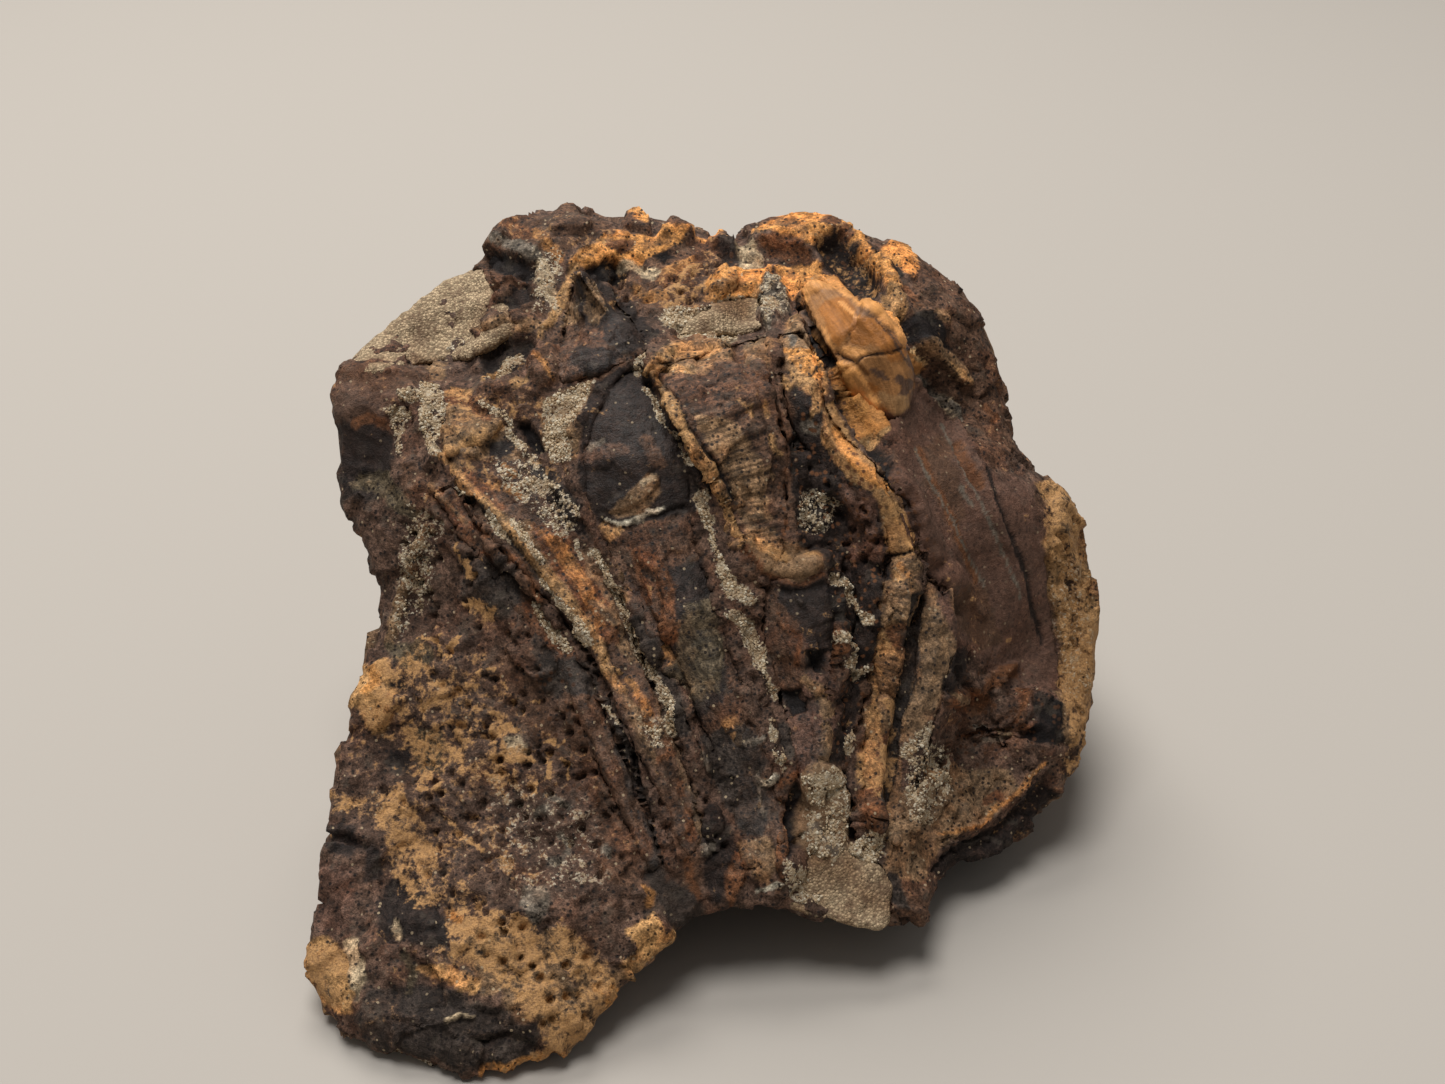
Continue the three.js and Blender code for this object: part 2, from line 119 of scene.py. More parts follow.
def chance(cells, seed):
    """A fixed random number from 0 to 1 for each whole-numbered cell."""
    mixed = (cells[:, 0] * 73856093) ^ (cells[:, 1] * 19349663) ^ (cells[:, 2] * 83492791)
    mixed = (mixed ^ (seed * 668265263 + 374761393)) & 0xFFFFFFFF
    mixed = ((mixed ^ (mixed >> 15)) * 2246822519) & 0xFFFFFFFF
    mixed = ((mixed ^ (mixed >> 13)) * 3266489917) & 0xFFFFFFFF
    return (mixed ^ (mixed >> 16)) / 0xFFFFFFFF


def lumps(places, size, seed=0):
    """Soft random heights from -1 to 1, whose lumps are this many millimetres across."""
    spots = places / (size * MM)
    cells = np.floor(spots).astype(np.int64)
    part = spots - cells
    part = part * part * (3 - 2 * part)
    total = np.zeros(len(places))
    for corner in CUBE:
        share = np.prod(np.where(corner == 1, part, 1 - part), axis=1)
        total += share * chance(cells + corner, seed)
    return 2 * total - 1


def rough(places, size, octaves=3, seed=0):
    """Lumps with smaller lumps on them, each half the size and height of the last."""
    return sum(lumps(places, size / 2**n, seed + n) / 2**n for n in range(octaves))


def bent(places, reach, size):
    """Places pushed about by lumps up to this reach, to make straight borders ragged."""
    return places + reach * MM * np.stack([lumps(places, size, seed) for seed in (61, 62, 63)], 1)


def rise(value, start, end):
    """0 below start, 1 above end, and a soft slope between them."""
    share = np.clip((value - start) / (end - start), 0, 1)
    return share * share * (3 - 2 * share)


# %% Cells and facets
AROUND = np.array(list(itertools.product((-1, 0, 1), repeat=3)))
POINT_SEEDS, TILT_SEEDS = (11, 12, 13), (21, 22, 23)
NUMBER_SEED, LEVEL_SEED = 14, 24
BEYOND_ALL = 9.0


def chances(cells, seed, steps):
    """Three random numbers for each cell, one for each axis."""
    return np.stack([chance(cells, seed + step) for step in steps], 1)


def neighbours(spots, seed):
    """The cells round each spot in turn, each with the place of its scattered point."""
    home = np.floor(spots).astype(np.int64)
    for step in AROUND:
        yield home + step, chances(home + step, seed, POINT_SEEDS)


def nearest_point(places, size, seed=0):
    """The distance to the nearest of some scattered points, as a share of size, and its number."""
    spots = places / (size * MM)
    best = np.full(len(places), BEYOND_ALL)
    number = np.zeros(len(places))
    for cell, point in neighbours(spots, seed):
        gap = np.linalg.norm(cell + point - spots, axis=1)
        near = gap < best
        best = np.where(near, gap, best)
        number = np.where(near, chance(cell, seed + NUMBER_SEED), number)
    return best, number


def facets(places, size, seed=0):
    """Heights from about -1 to 1 like broken stone: each cell is a flat face with its own tilt."""
    spots = places / (size * MM)
    best = np.full(len(places), BEYOND_ALL)
    height = np.zeros(len(places))
    for cell, point in neighbours(spots, seed):
        away = spots - cell - point
        gap = np.linalg.norm(away, axis=1)
        tilt = chances(cell, seed, TILT_SEEDS) * 2 - 1
        near = gap < best
        best = np.where(near, gap, best)
        height = np.where(near, np.sum(away * tilt, 1) + chance(cell, seed + LEVEL_SEED) - 0.5, height)
    return height


# %% [markdown]
# ## Marks
#
# Everything that is put on the fossil one by one is a mark: a patch with an outline of (x, y) points
# and a soft edge in pixels, or a stroke along (x, y, half width) points, with 0 for its edge. A mark
# says how much it covers a place, so marks can raise a ridge, dig a groove, tint or strew sand.

# %% Marks
def segment(spots, start, end):
    """How far along a line the point nearest each spot is, as a share, and how far off it is."""
    step = np.array(end) - start
    share = np.clip((spots - start) @ step / (step @ step), 0, 1)
    return share, np.linalg.norm(spots - start - share[:, None] * step, axis=1)


def stroke(spots, line):
    """1 on the line and 0 at its half width, below zero outside."""
    best = np.full(len(spots), -BEYOND_ALL)
    for (*here, half), (*there, next_half) in zip(line, line[1:]):
        share, gap = segment(spots, here, there)
        best = np.maximum(best, 1 - gap / (half + (next_half - half) * share))
    return best


def patch(spots, outline, edge):
    """How far inside the outline each spot is, as a share of the edge; below zero outside."""
    gap = np.full(len(spots), np.inf)
    inside = np.zeros(len(spots), bool)
    for (x, y), (to_x, to_y) in zip(outline, outline[1:] + outline[:1]):
        gap = np.minimum(gap, segment(spots, (x, y), (to_x, to_y))[1])
        if to_y != y:
            crossing = (spots[:, 1] < y) != (spots[:, 1] < to_y)
            where = x + (spots[:, 1] - y) * (to_x - x) / (to_y - y)
            inside ^= crossing & (spots[:, 0] < where)
    return np.where(inside, gap, -gap) / edge


def cover(spots, points, edge=0):
    """How much a mark covers each spot, from 0 to 1."""
    shape = np.array(points)
    is_stroke = shape.shape[1] == 3
    margin = shape[:, 2].max() if is_stroke else edge
    near = np.all((spots > shape[:, :2].min(0) - margin) & (spots < shape[:, :2].max(0) + margin), axis=1)
    share = np.zeros(len(spots))
    if is_stroke:
        share[near] = np.clip(stroke(spots[near], points) * 2, 0, 1)
    else:
        share[near] = np.clip(patch(spots[near], points, edge) + 0.5, 0, 1)
    return share


def curve(line, steps=6):
    """The same stroke, rounded: a smooth line through all of its points."""
    ends = [line[0], *line, line[-1]]
    smooth = []
    for before, start, end, after in zip(ends, ends[1:], ends[2:], ends[3:]):
        for n in range(steps):
            t = n / steps
            weights = (-t + 2 * t**2 - t**3, 2 - 5 * t**2 + 3 * t**3, t + 4 * t**2 - 3 * t**3, t**3 - t**2)
            smooth.append(tuple(sum(w * p[axis] for w, p in zip(weights, (before, start, end, after))) / 2
                                for axis in range(len(start))))
    return smooth + [line[-1]]


# %% [markdown]
# ## Colours
#
# The palette is given as the eye reads it on a screen, from 0 to 255, and turned into the linear
# values that light is worked out in.

# %% Colours
def linear(red, green, blue):
    """A screen colour as the linear values that materials take."""
    return tuple((c / 255 / 12.92) if c < 10.3 else ((c / 255 + 0.055) / 1.055) ** 2.4
                 for c in (red, green, blue))


PALETTE = {
    "bone": linear(94, 73, 61),
    "deep": linear(50, 41, 37),
    "umber": linear(94, 70, 55),
    "plum": linear(99, 74, 62),
    "rust": linear(112, 75, 51),
    "slate": linear(66, 57, 51),
    "ash": linear(112, 102, 90),
    "moss": linear(96, 84, 66),
    "fawn": linear(134, 106, 78),
    "tan": linear(170, 131, 88),
    "ochre": linear(198, 152, 100),
    "orange": linear(212, 150, 86),
    "honey": linear(158, 112, 68),
    "buff": linear(186, 165, 134),
    "chalk": linear(214, 204, 182),
    "black": linear(32, 27, 26),
    "clay": linear(132, 106, 80),
    "amber": linear(160, 104, 52),
    "peach": linear(208, 148, 88),
    "cream": linear(216, 176, 124),
}

# %% [markdown]
# ## Meshes
#
# A piece starts as a merged copy of its own solid. A voxel remesh gives it even faces small enough
# to work on, subdivide_edges makes them finer where the detail is, and then each vertex is moved.

# %% Meshes
SAME_PLACE = 0.001


def merged(*names):
    """One bmesh that holds a copy of these solids, with its doubled vertices merged."""
    bm = bmesh.new()
    for name in names:
        bm.from_mesh(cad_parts[name].data)
    bmesh.ops.remove_doubles(bm, verts=bm.verts, dist=SAME_PLACE * MM)
    return bm


def settled(name, bm):
    mesh = bpy.data.meshes.new(name)
    bm.to_mesh(mesh)
    bm.free()
    piece = bpy.data.objects.new(name, mesh)
    bpy.context.scene.collection.objects.link(piece)
    return piece


def remeshed(name, bm, voxel):
    """This bmesh as an object with even faces, voxel millimetres across."""
    piece = settled(name, bm)
    remesh = piece.modifiers.new("even faces", "REMESH")
    remesh.mode, remesh.voxel_size = "VOXEL", voxel * MM
    depsgraph = bpy.context.evaluated_depsgraph_get()
    even = bpy.data.meshes.new_from_object(piece.evaluated_get(depsgraph))
    piece.modifiers.clear()
    piece.data = even
    return piece


def biggest(bm):
    """Leaves only the largest connected shell: a remesh can leave bubbles inside."""
    unseen = set(bm.verts)
    shells = []
    while unseen:
        shell, border = set(), [unseen.pop()]
        while border:
            vert = border.pop()
            shell.add(vert)
            for edge in vert.link_edges:
                other = edge.other_vert(vert)
                if other in unseen:
                    unseen.remove(other)
                    border.append(other)
        shells.append(shell)
    shells.sort(key=len)
    for shell in shells[:-1]:
        bmesh.ops.delete(bm, geom=list(shell), context="VERTS")


def shell_of(piece):
    bm = bmesh.new()
    bm.from_mesh(piece.data)
    biggest(bm)
    return bm


def soften(bm, verts, passes=1):
    for n in range(passes):
        bmesh.ops.smooth_vert(bm, verts=verts, factor=0.5, use_axis_x=True, use_axis_y=True, use_axis_z=True)


def finer(bm, wanted):
    """Splits the edges of the faces for which wanted(middles, normals) is true."""
    faces = list(bm.faces)
    middles = np.array([face.calc_center_median() for face in faces])
    normals = np.array([face.normal for face in faces])
    edges = {edge for face, yes in zip(faces, wanted(middles, normals)) if yes for edge in face.edges}
    bmesh.ops.subdivide_edges(bm, edges=list(edges), cuts=1, use_grid_fill=True)
    bmesh.ops.triangulate(bm, faces=[face for face in bm.faces if len(face.verts) > 4])


# %% [markdown]
# Vertices are read into one array, moved together and written back, which is quick. What a material
# needs to know of a place is stored with it.

# %% Read and write
LOWEST, HIGHEST = (np.array(corner) for corner in CAD_BOX)
EASE = 0.8


def read(mesh):
    """The places and normals of a mesh's vertices."""
    places = np.empty(len(mesh.vertices) * 3, np.float32)
    normals = np.empty(len(mesh.vertices) * 3, np.float32)
    mesh.vertices.foreach_get("co", places)
    mesh.vertex_normals.foreach_get("vector", normals)
    return places.reshape(-1, 3).astype(float), normals.reshape(-1, 3).astype(float)


def write(mesh, places):
    """Moves the vertices, kept inside the box of the solids and eased off at its top."""
    brink = HIGHEST[2] - EASE * MM
    over = np.maximum(places[:, 2] - brink, 0)
    places[:, 2] = np.minimum(places[:, 2], brink) + EASE * MM * (1 - np.exp(-over / (EASE * MM)))
    kept = np.clip(places, LOWEST, HIGHEST)
    mesh.vertices.foreach_set("co", kept.astype(np.float32).ravel())
    mesh.update()


def note(mesh, **values):
    """Stores numbers or colours for each vertex, under these names."""
    for name, value in values.items():
        if value.ndim == 1:
            layer = mesh.attributes.new(name, "FLOAT", "POINT")
            layer.data.foreach_set("value", value.astype(np.float32))
        else:
            layer = mesh.attributes.new(name, "FLOAT_COLOR", "POINT")
            full = np.concatenate([value, np.ones((len(value), 1))], 1)
            layer.data.foreach_set("color", full.astype(np.float32).ravel())


def tally(piece):
    piece.data.calc_loop_triangles()
    print(piece.name, len(piece.data.loop_triangles), "triangles")


# %% [markdown]
# ## Where the teeth run
#
# A hadrosaur's teeth grew in curved files, each a long bar with a keel and a thin coat of enamel. A
# line down the middle of each gives every place two numbers, how far along the file it is and how
# far across. They lay out the growth lines, and say how near a place is to the tooth's edge.

# %% Tooth lines
# name: base colour, growth lines (pitch mm, height mm, "across" or "along"), the line in pixels
TOOTH_LINES = {
    "tooth_1": ("rust", (0.35, 0.1, "along"), [(441, 492, 8), (496, 567, 10), (546, 627, 11),
     (586, 688, 11), (619, 763, 10), (658, 853, 8)]),
    "tooth_2": ("fawn", (0.45, 0.13, "along"), [(477, 442, 36), (518, 506, 40), (564, 568, 33),
     (606, 629, 25), (638, 698, 19), (668, 758, 17), (698, 838, 11)]),
    "tooth_3": ("umber", (0.8, 0.1, "along"), [(655, 369, 24), (645, 404, 42), (636, 452, 50),
     (640, 502, 50), (658, 560, 42), (689, 630, 33), (716, 688, 29), (741, 747, 25), (755, 797, 22),
     (761, 853, 17)]),
    "tooth_4": ("umber", (0.62, 0.15, "across"), [(704, 351, 52), (724, 407, 50), (749, 468, 38),
     (761, 522, 26), (765, 560, 16)]),
    "tooth_5": ("plum", (0.9, 0.06, "along"), [(792, 576, 32), (800, 622, 36), (803, 678, 28),
     (807, 738, 15), (803, 773, 8)]),
    "tooth_6": ("tan", (0.7, 0.12, "across"), [(793, 327, 11), (803, 373, 19), (809, 416, 17),
     (829, 448, 18), (862, 479, 18), (893, 511, 17), (906, 552, 16), (899, 602, 18), (888, 648, 16),
     (879, 698, 13), (873, 753, 12), (868, 818, 9)]),
    "tooth_7": ("fawn", (0.9, 0.05, "along"), [(939, 586, 14), (933, 638, 24), (920, 694, 25),
     (906, 747, 21), (893, 803, 15), (887, 838, 9)]),
    "tooth_8": ("honey", (1.2, 0.04, "along"), [(808, 281, 12), (825, 307, 29), (854, 346, 37),
     (875, 378, 37), (887, 403, 25), (893, 420, 10)]),
    "tooth_9": ("umber", (0.8, 0.09, "along"), [(603, 367, 46), (599, 341, 44), (589, 310, 28),
     (577, 275, 6)]),
}


def along(spots, line):
    """How far along a line each spot is, in pixels, and how far beside it, in half widths."""
    best = np.full(len(spots), np.inf)
    distance, beside, start = np.zeros(len(spots)), np.zeros(len(spots)), 0.0
    for (x, y, half), (to_x, to_y, to_half) in zip(line, line[1:]):
        step = np.array([to_x - x, to_y - y])
        length = np.linalg.norm(step)
        share = np.clip((spots - (x, y)) @ step / length**2, 0, 1)
        gap = np.linalg.norm(spots - (x, y) - share[:, None] * step, axis=1)
        near = gap < best
        side = (step[0] * (spots[:, 1] - y) - step[1] * (spots[:, 0] - x)) / length
        best = np.where(near, gap, best)
        distance = np.where(near, start + share * length, distance)
        beside = np.where(near, -side / (half + (to_half - half) * share), beside)
        start += length
    return distance, beside


def nearness(places):
    """How near each place is to the edge of its tooth: 0 down the middle, 1 at the edge."""
    spots = sight(places)
    best = np.full(len(places), BEYOND_ALL)
    for _, _, line in TOOTH_LINES.values():
        best = np.minimum(best, np.abs(along(spots, line)[1]))
    return best


# %% [markdown]
# ## The jaw bone
#
# The bone is one spongy mass that the teeth stand in. Its mesh is made from all of the solids
# together, so that it fills the gaps between them nearly to the brim as the rock did. To measure
# how deep a tooth lies in it, rays are cast square to the broken face, inwards and outwards.

# %% Measure the solids
TEETH = [name for name in sorted(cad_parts) if name.startswith("tooth")]
STONES = [name for name in sorted(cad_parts) if name.startswith("sandstone")]
PROUD = ("tooth_8", "tooth_9")
OUT = Vector(-FORWARD)
RAY_START = 60 * MM


def tree(names):
    """A search tree of these solids, to measure distances and cast rays with."""
    solids = merged(*names)
    found = BVHTree.FromBMesh(solids)
    solids.free()
    return found


def lodged(place, search):
    """Where a line through this place, square to the face, enters and leaves a lodger."""
    top = search.ray_cast(Vector(place) + OUT * RAY_START, -OUT)[0]
    floor = search.ray_cast(Vector(place) - OUT * RAY_START, OUT)[0]
    return top, floor


tooth_tree, stone_tree = tree(TEETH), tree(STONES)
flush_tree = tree([name for name in TEETH if name not in PROUD])

# %% [markdown]
# The mass is smoothed round each tooth that lies flush, as the rock closed round it. Faces that the
# camera looks at are then split twice, but not those under the middle of a tooth, which don't show.

# %% Bone mesh
BONE_VOXEL = 1.35
SOCKET_REACH, SOCKET_PASSES = 2.6, 9
OUTWARD, NOT_TURNED_AWAY = 0.2, -0.05
TOOTH_MIDDLE = 0.45


def bare_front(middles, normals):
    """Faces that the camera sees, apart from those under the middle of a tooth."""
    seen = facing(middles, normals) > NOT_TURNED_AWAY
    hidden = seen & (nearness(middles) < TOOTH_MIDDLE)
    hidden[hidden] = [lodged(middle, tooth_tree)[0] is not None for middle in middles[hidden]]
    return seen & ~hidden


bone = remeshed("bone", merged("jaw_bone", *TEETH, *STONES), BONE_VOXEL)
bm = shell_of(bone)
soften(bm, bm.verts)
bm.normal_update()
sockets = [vert for vert in bm.verts if vert.normal.dot(OUT) > OUTWARD
           and flush_tree.find_nearest(vert.co, SOCKET_REACH * MM)[0] is not None]
soften(bm, sockets, SOCKET_PASSES)
for n in range(2):
    finer(bm, bare_front)
    print("bone faces", len(bm.faces))
soften(bm, bm.verts)
bm.to_mesh(bone.data)
bm.free()

# %% [markdown]
# ## Room for the teeth and the fillings
#
# Bone grew up round each tooth and still grips its sides, so it laps over the tooth's edge here and
# there, and is pressed well down under its middle. Beside a tooth it is banked up nearly to the
# tooth's own level, so that the teeth look set in and not laid on. Where it pulled away, a seam is
# dug, which is later darkened with painted shade and dirt. Sandstone only needs a thin bed.

# %% Press the bone down
# millimetres
TOOTH_BED, LAP = 0.9, 0.45
LAP_FROM, LAP_TO = 0.4, 0.95
STONE_BED, STONE_LAP, STONE_REACH = 0.55, 0.6, 1.0
SEAM_WIDTH, SEAM_DEPTH, UNDER_A_TOOTH = 0.6, 0.6, 0.3
BANK_WIDTH, BANK_MOST, BANK_INSET = 2.8, 1.8, 0.8
BANK_SHARE, BANK_SHOULDER = 0.85, 0.8
FRONT = -0.1


def bank(place, side, gap):
    """The move that banks the bone up at a place beside a tooth, whose nearest point is side."""
    inner = side + (side - place).normalized() * BANK_INSET * MM
    brim = flush_tree.ray_cast(inner + OUT * RAY_START, -OUT)[0]
    if brim is None:
        return 0
    lift = min(max((brim - place).dot(OUT), 0), BANK_MOST * MM)
    return np.array(OUT) * BANK_SHARE * lift * rise(1 - gap / (BANK_WIDTH * MM), 0, BANK_SHOULDER)


def pressed(places):
    """The bone's places, moved under and beside each lodger, and how deep in a seam each is."""
    moved = places.copy()
    seam = np.zeros(len(places))
    edge = nearness(places)
    lap = rough(places, size=2.4, octaves=2, seed=41)
    gape = rise(lumps(places, size=3.0, seed=43), 0.0, 0.7)
    for n, place in enumerate(map(Vector, places)):
        top, floor = lodged(place, tooth_tree)
        if top is not None and (place - floor).dot(OUT) > 0:
            bed = TOOTH_BED * (1 - rise(edge[n], LAP_FROM, LAP_TO)) - LAP * lap[n]
            moved[n] = top - OUT * bed * MM
            seam[n] = UNDER_A_TOOTH
            continue
        top, floor = lodged(place, stone_tree)
        if top is not None and (place - floor).dot(OUT) > 0 and (top - place).dot(OUT) < STONE_REACH * MM:
            moved[n] = top - OUT * (STONE_BED - STONE_LAP * lap[n]) * MM
        side, _, _, gap = flush_tree.find_nearest(place, BANK_WIDTH * MM)
        if side is None:
            continue
        moved[n] += bank(place, side, gap)
        seam[n] = max(0, 1 - gap / (SEAM_WIDTH * MM)) * gape[n]
        moved[n] -= np.array(OUT) * SEAM_DEPTH * MM * rise(seam[n], 0, 1)
    return moved, seam


places, normals = read(bone.data)
front = facing(places, normals) > FRONT
seam = np.zeros(len(places))
places[front], seam[front] = pressed(places[front])
write(bone.data, places)
print("bone vertices in a seam or under a tooth", int(np.sum(seam > 0)))

# %% [markdown]
# ## Relief
#
# The solids give the big forms. Between them and the grain of the stone lie the forms that tell the
# eye what broke and what wore away: rims, blocks, ledges, gouges, keels and cracks. Each is a mark
# with a height in millimetres. Bone and teeth share one list, so that a ledge runs on from one to
# the other as it does in the rock.

# %% Relief of the top
RELIEF = []


def form(height, edge, *points):
    """A mark of so many millimetres: a ridge or a block, or below zero a groove or a pit."""
    RELIEF.append((height, edge, points))


# peaks along the top
form(1.2, 0, (556, 222, 7), (568, 216, 13), (584, 224, 8))
form(0.9, 0, (624, 228, 6), (634, 222, 9), (648, 228, 6))
form(1.0, 0, (664, 236, 6), (677, 230, 11), (690, 238, 6))
form(1.1, 0, (712, 246, 5), (722, 242, 9), (734, 252, 6))
# back knob, and the pit behind it
form(-1.3, 6, (484, 254), (510, 255), (534, 262), (534, 278), (500, 276), (484, 268))
form(-0.9, 6, (510, 286), (530, 280), (536, 300), (516, 308), (498, 308))
form(-1.1, 0, (462, 300, 6), (466, 308, 8), (466, 318, 5))
form(0.5, 0, (428, 528, 7), (415, 560, 8), (400, 601, 8), (387, 640, 7))
# pocket left of the fin
form(-1.4, 9, (482, 344), (500, 336), (534, 336), (536, 352), (515, 374), (492, 380), (480, 366))
form(0.3, 0, (480, 332, 8), (500, 324, 9), (525, 322, 9), (543, 324, 8))
form(1.2, 5, (530, 354), (556, 350), (560, 378), (546, 388), (528, 382))
form(-1.3, 5, (518, 418), (530, 420), (543, 438), (545, 450), (534, 454), (522, 440))
form(0.7, 6, (446, 416), (462, 410), (502, 420), (486, 442), (476, 456), (443, 458), (448, 436))
# orange crust
form(0.5, 12, (570, 262), (578, 250), (600, 240), (612, 232), (640, 236), (665, 233), (692, 236),
    (676, 250), (650, 260), (612, 262))
form(-0.9, 5, (588, 264), (610, 261), (624, 264), (626, 278), (612, 283), (600, 277))
# right lump
form(-2.2, 12, (818, 242), (845, 238), (868, 262), (878, 290), (862, 302), (844, 280))
form(0.6, 0, (757, 238, 12), (775, 226, 16), (800, 221, 16), (825, 223, 14), (847, 235, 10),
    (868, 256, 10), (886, 277, 10), (898, 302, 10))
form(-0.8, 7, (762, 248), (790, 244), (812, 250), (812, 264), (786, 264), (764, 258))
# block, valley and wedge beside it
form(1.3, 5, (757, 292), (770, 276), (784, 280), (790, 306), (778, 324), (766, 328), (756, 318))
form(-0.9, 14, (668, 312), (700, 312), (750, 300), (748, 325), (730, 338), (680, 334))
form(0.8, 6, (708, 278), (722, 270), (742, 272), (770, 264), (772, 276), (744, 300), (712, 302))
# slope behind the enamel
form(1.2, 0, (926, 343, 8), (940, 355, 11), (955, 369, 11), (968, 382, 8))
form(-1.3, 0, (905, 320, 10), (925, 370, 11), (950, 418, 8))
form(0.4, 0, (941, 394, 4), (950, 405, 5), (958, 414, 4))

# %% [markdown]
# On the right the cheek stands over a cavity, and at the foot the bone broke off in shelves and stubs.

# %% Relief of the right and the foot
# cheek
form(0.6, 0, (893, 462, 7), (920, 514, 8), (948, 566, 8), (980, 612, 7))
form(-0.7, 0, (880, 470, 6), (906, 520, 8), (934, 572, 8), (960, 612, 8))
form(-0.3, 0, (985, 470, 3), (1020, 560, 4), (1042, 640, 3))
form(0.5, 0, (922, 382, 7), (950, 420, 8), (985, 480, 8), (1005, 540, 7))
form(-0.5, 0, (955, 446, 5), (968, 464, 7), (980, 484, 5))
# arch
form(0.5, 0, (744, 541, 7), (756, 553, 10), (772, 566, 12), (798, 568, 12), (820, 562, 9))
form(-0.4, 0, (760, 588, 5), (790, 592, 6), (822, 586, 5))
# cavity, and the ledge below it
form(-0.5, 12, (942, 690), (952, 662), (966, 648), (974, 664), (962, 684), (950, 704))
form(1.2, 12, (953, 712), (1000, 700), (1040, 690), (1056, 706), (1050, 752), (1010, 762), (968, 760),
    (950, 738))
form(0.9, 0, (948, 700, 7), (975, 690, 8), (1000, 672, 7), (1014, 664, 6))
form(1.0, 5, (1014, 696), (1026, 690), (1028, 714), (1038, 730), (1022, 728))
form(0.5, 0, (962, 724, 4), (985, 716, 4), (1010, 714, 4))
form(0.6, 0, (965, 742, 4), (990, 736, 4), (1016, 738, 4))
form(0.5, 0, (940, 836, 4), (970, 828, 4), (988, 820, 4), (1010, 800, 4), (1036, 768, 4))
form(-1.0, 7, (936, 872), (952, 846), (1000, 826), (1022, 800), (1044, 776), (1060, 800), (1020, 836),
    (980, 852), (950, 868))
# crust at the far right
form(-1.0, 0, (1060, 536, 4), (1070, 570, 6), (1078, 604, 7), (1078, 650, 4))
form(-0.7, 0, (1048, 560, 4), (1054, 610, 4), (1062, 660, 4), (1066, 700, 4))
form(0.7, 6, (1048, 692), (1068, 690), (1078, 720), (1072, 745), (1056, 738))
# left shoulder
form(0.7, 0, (340, 374, 7), (365, 368, 8), (400, 368, 8), (425, 376, 7))
form(-0.5, 9, (330, 420), (372, 410), (392, 440), (380, 470), (345, 462))
# left side and foot
form(0.5, 6, (364, 666), (384, 656), (394, 672), (392, 712), (376, 738), (352, 712))
form(-0.7, 34, (372, 985), (430, 975), (500, 1008), (535, 1040), (470, 1058), (390, 1044))
form(0.7, 0, (444, 1019, 3), (456, 1012, 4), (472, 1015, 3))
form(-0.9, 0, (318, 840, 7), (345, 838, 6), (366, 846, 5))
# stubs of the foot
form(0.9, 6, (622, 932), (650, 918), (668, 930), (666, 946), (642, 970), (624, 974))
form(1.0, 0, (900, 912, 8), (922, 914, 9), (938, 916, 8))
# lens of sandstone
form(0.8, 6, (802, 785), (810, 768), (822, 760), (840, 768), (847, 790), (846, 840), (832, 866), (806, 850))
form(-1.0, 0, (848, 772, 4), (851, 800, 5), (850, 840, 4))
form(0.6, 5, (858, 752), (868, 750), (878, 770), (878, 830), (860, 832), (857, 790))

# %% [markdown]
# The files have keels and channels between them, the crown a thin edge, the round tooth a hole.

# %% Relief of the teeth
# keels and channels of the left files
form(0.45, 0, (442, 456, 5), (471, 487, 6), (512, 532, 6), (541, 569, 7), (568, 601, 8), (595, 642, 8),
    (616, 681, 7), (646, 729, 6), (672, 790, 5), (698, 840, 4))
form(-0.6, 0, (458, 482, 4), (485, 512, 5), (512, 545, 6), (545, 590, 6), (572, 632, 7), (598, 676, 6),
    (628, 740, 5), (650, 812, 5))
form(0.35, 0, (430, 483, 3), (446, 500, 4), (468, 524, 5), (500, 556, 5), (540, 600, 5), (575, 660, 4))
form(-0.7, 0, (580, 520, 5), (600, 560, 6), (622, 608, 8), (640, 650, 7), (662, 700, 6), (684, 750, 5))
form(0.4, 0, (612, 562, 3), (634, 600, 4), (662, 650, 4), (690, 715, 4), (712, 770, 4))
form(-0.45, 0, (640, 590, 4), (668, 650, 5), (696, 712, 5), (722, 780, 4))
form(0.4, 0, (718, 600, 4), (738, 660, 5), (756, 720, 5), (770, 780, 4))
# crown
form(0.7, 0, (649, 370, 5), (664, 392, 5), (680, 420, 5), (692, 440, 5), (703, 460, 6), (717, 482, 6),
    (729, 510, 6), (740, 545, 6))
form(-0.6, 0, (658, 378, 3), (672, 400, 4), (688, 428, 4), (706, 452, 4), (722, 480, 4), (734, 502, 3))
form(-0.7, 0, (648, 386, 4), (668, 420, 5), (690, 458, 6), (708, 492, 5))
form(0.35, 5, (646, 368), (662, 348), (685, 340), (722, 342), (734, 353), (730, 364), (700, 372))
form(0.3, 0, (652, 369, 3), (672, 372, 3), (696, 374, 3))
form(-0.4, 0, (736, 352, 6), (756, 380, 7), (774, 430, 8), (784, 500, 7))
# worn facet left of the crown
form(-0.4, 0, (600, 522, 3), (630, 530, 4), (650, 517, 4), (690, 508, 3))
form(0.5, 0, (612, 508, 7), (632, 498, 11), (652, 484, 10))
form(0.3, 0, (640, 560, 5), (662, 575, 5), (668, 605, 5), (670, 640, 4))
# round tooth
form(0.5, 0, (836, 586, 4), (840, 615, 4), (832, 655, 4), (826, 700, 4), (822, 757, 4))
form(-1.5, 5, (805, 652), (825, 651), (825, 672), (804, 670))
form(-0.9, 6, (780, 692), (802, 690), (806, 712), (790, 718))
# orange strip, and the grooves beside it
form(-1.3, 0, (800, 298, 5), (812, 330, 6), (828, 358, 6), (840, 386, 8), (854, 414, 8), (872, 442, 8),
    (890, 470, 7), (906, 505, 7))
form(-0.4, 0, (884, 557, 2), (900, 551, 2), (920, 546, 2))
form(0.3, 6, (880, 582), (910, 578), (912, 622), (882, 624))
form(0.3, 6, (876, 656), (898, 652), (900, 690), (880, 694))
form(-0.6, 0, (918, 600, 8), (911, 645, 9), (903, 690, 8), (893, 740, 7), (884, 798, 6))
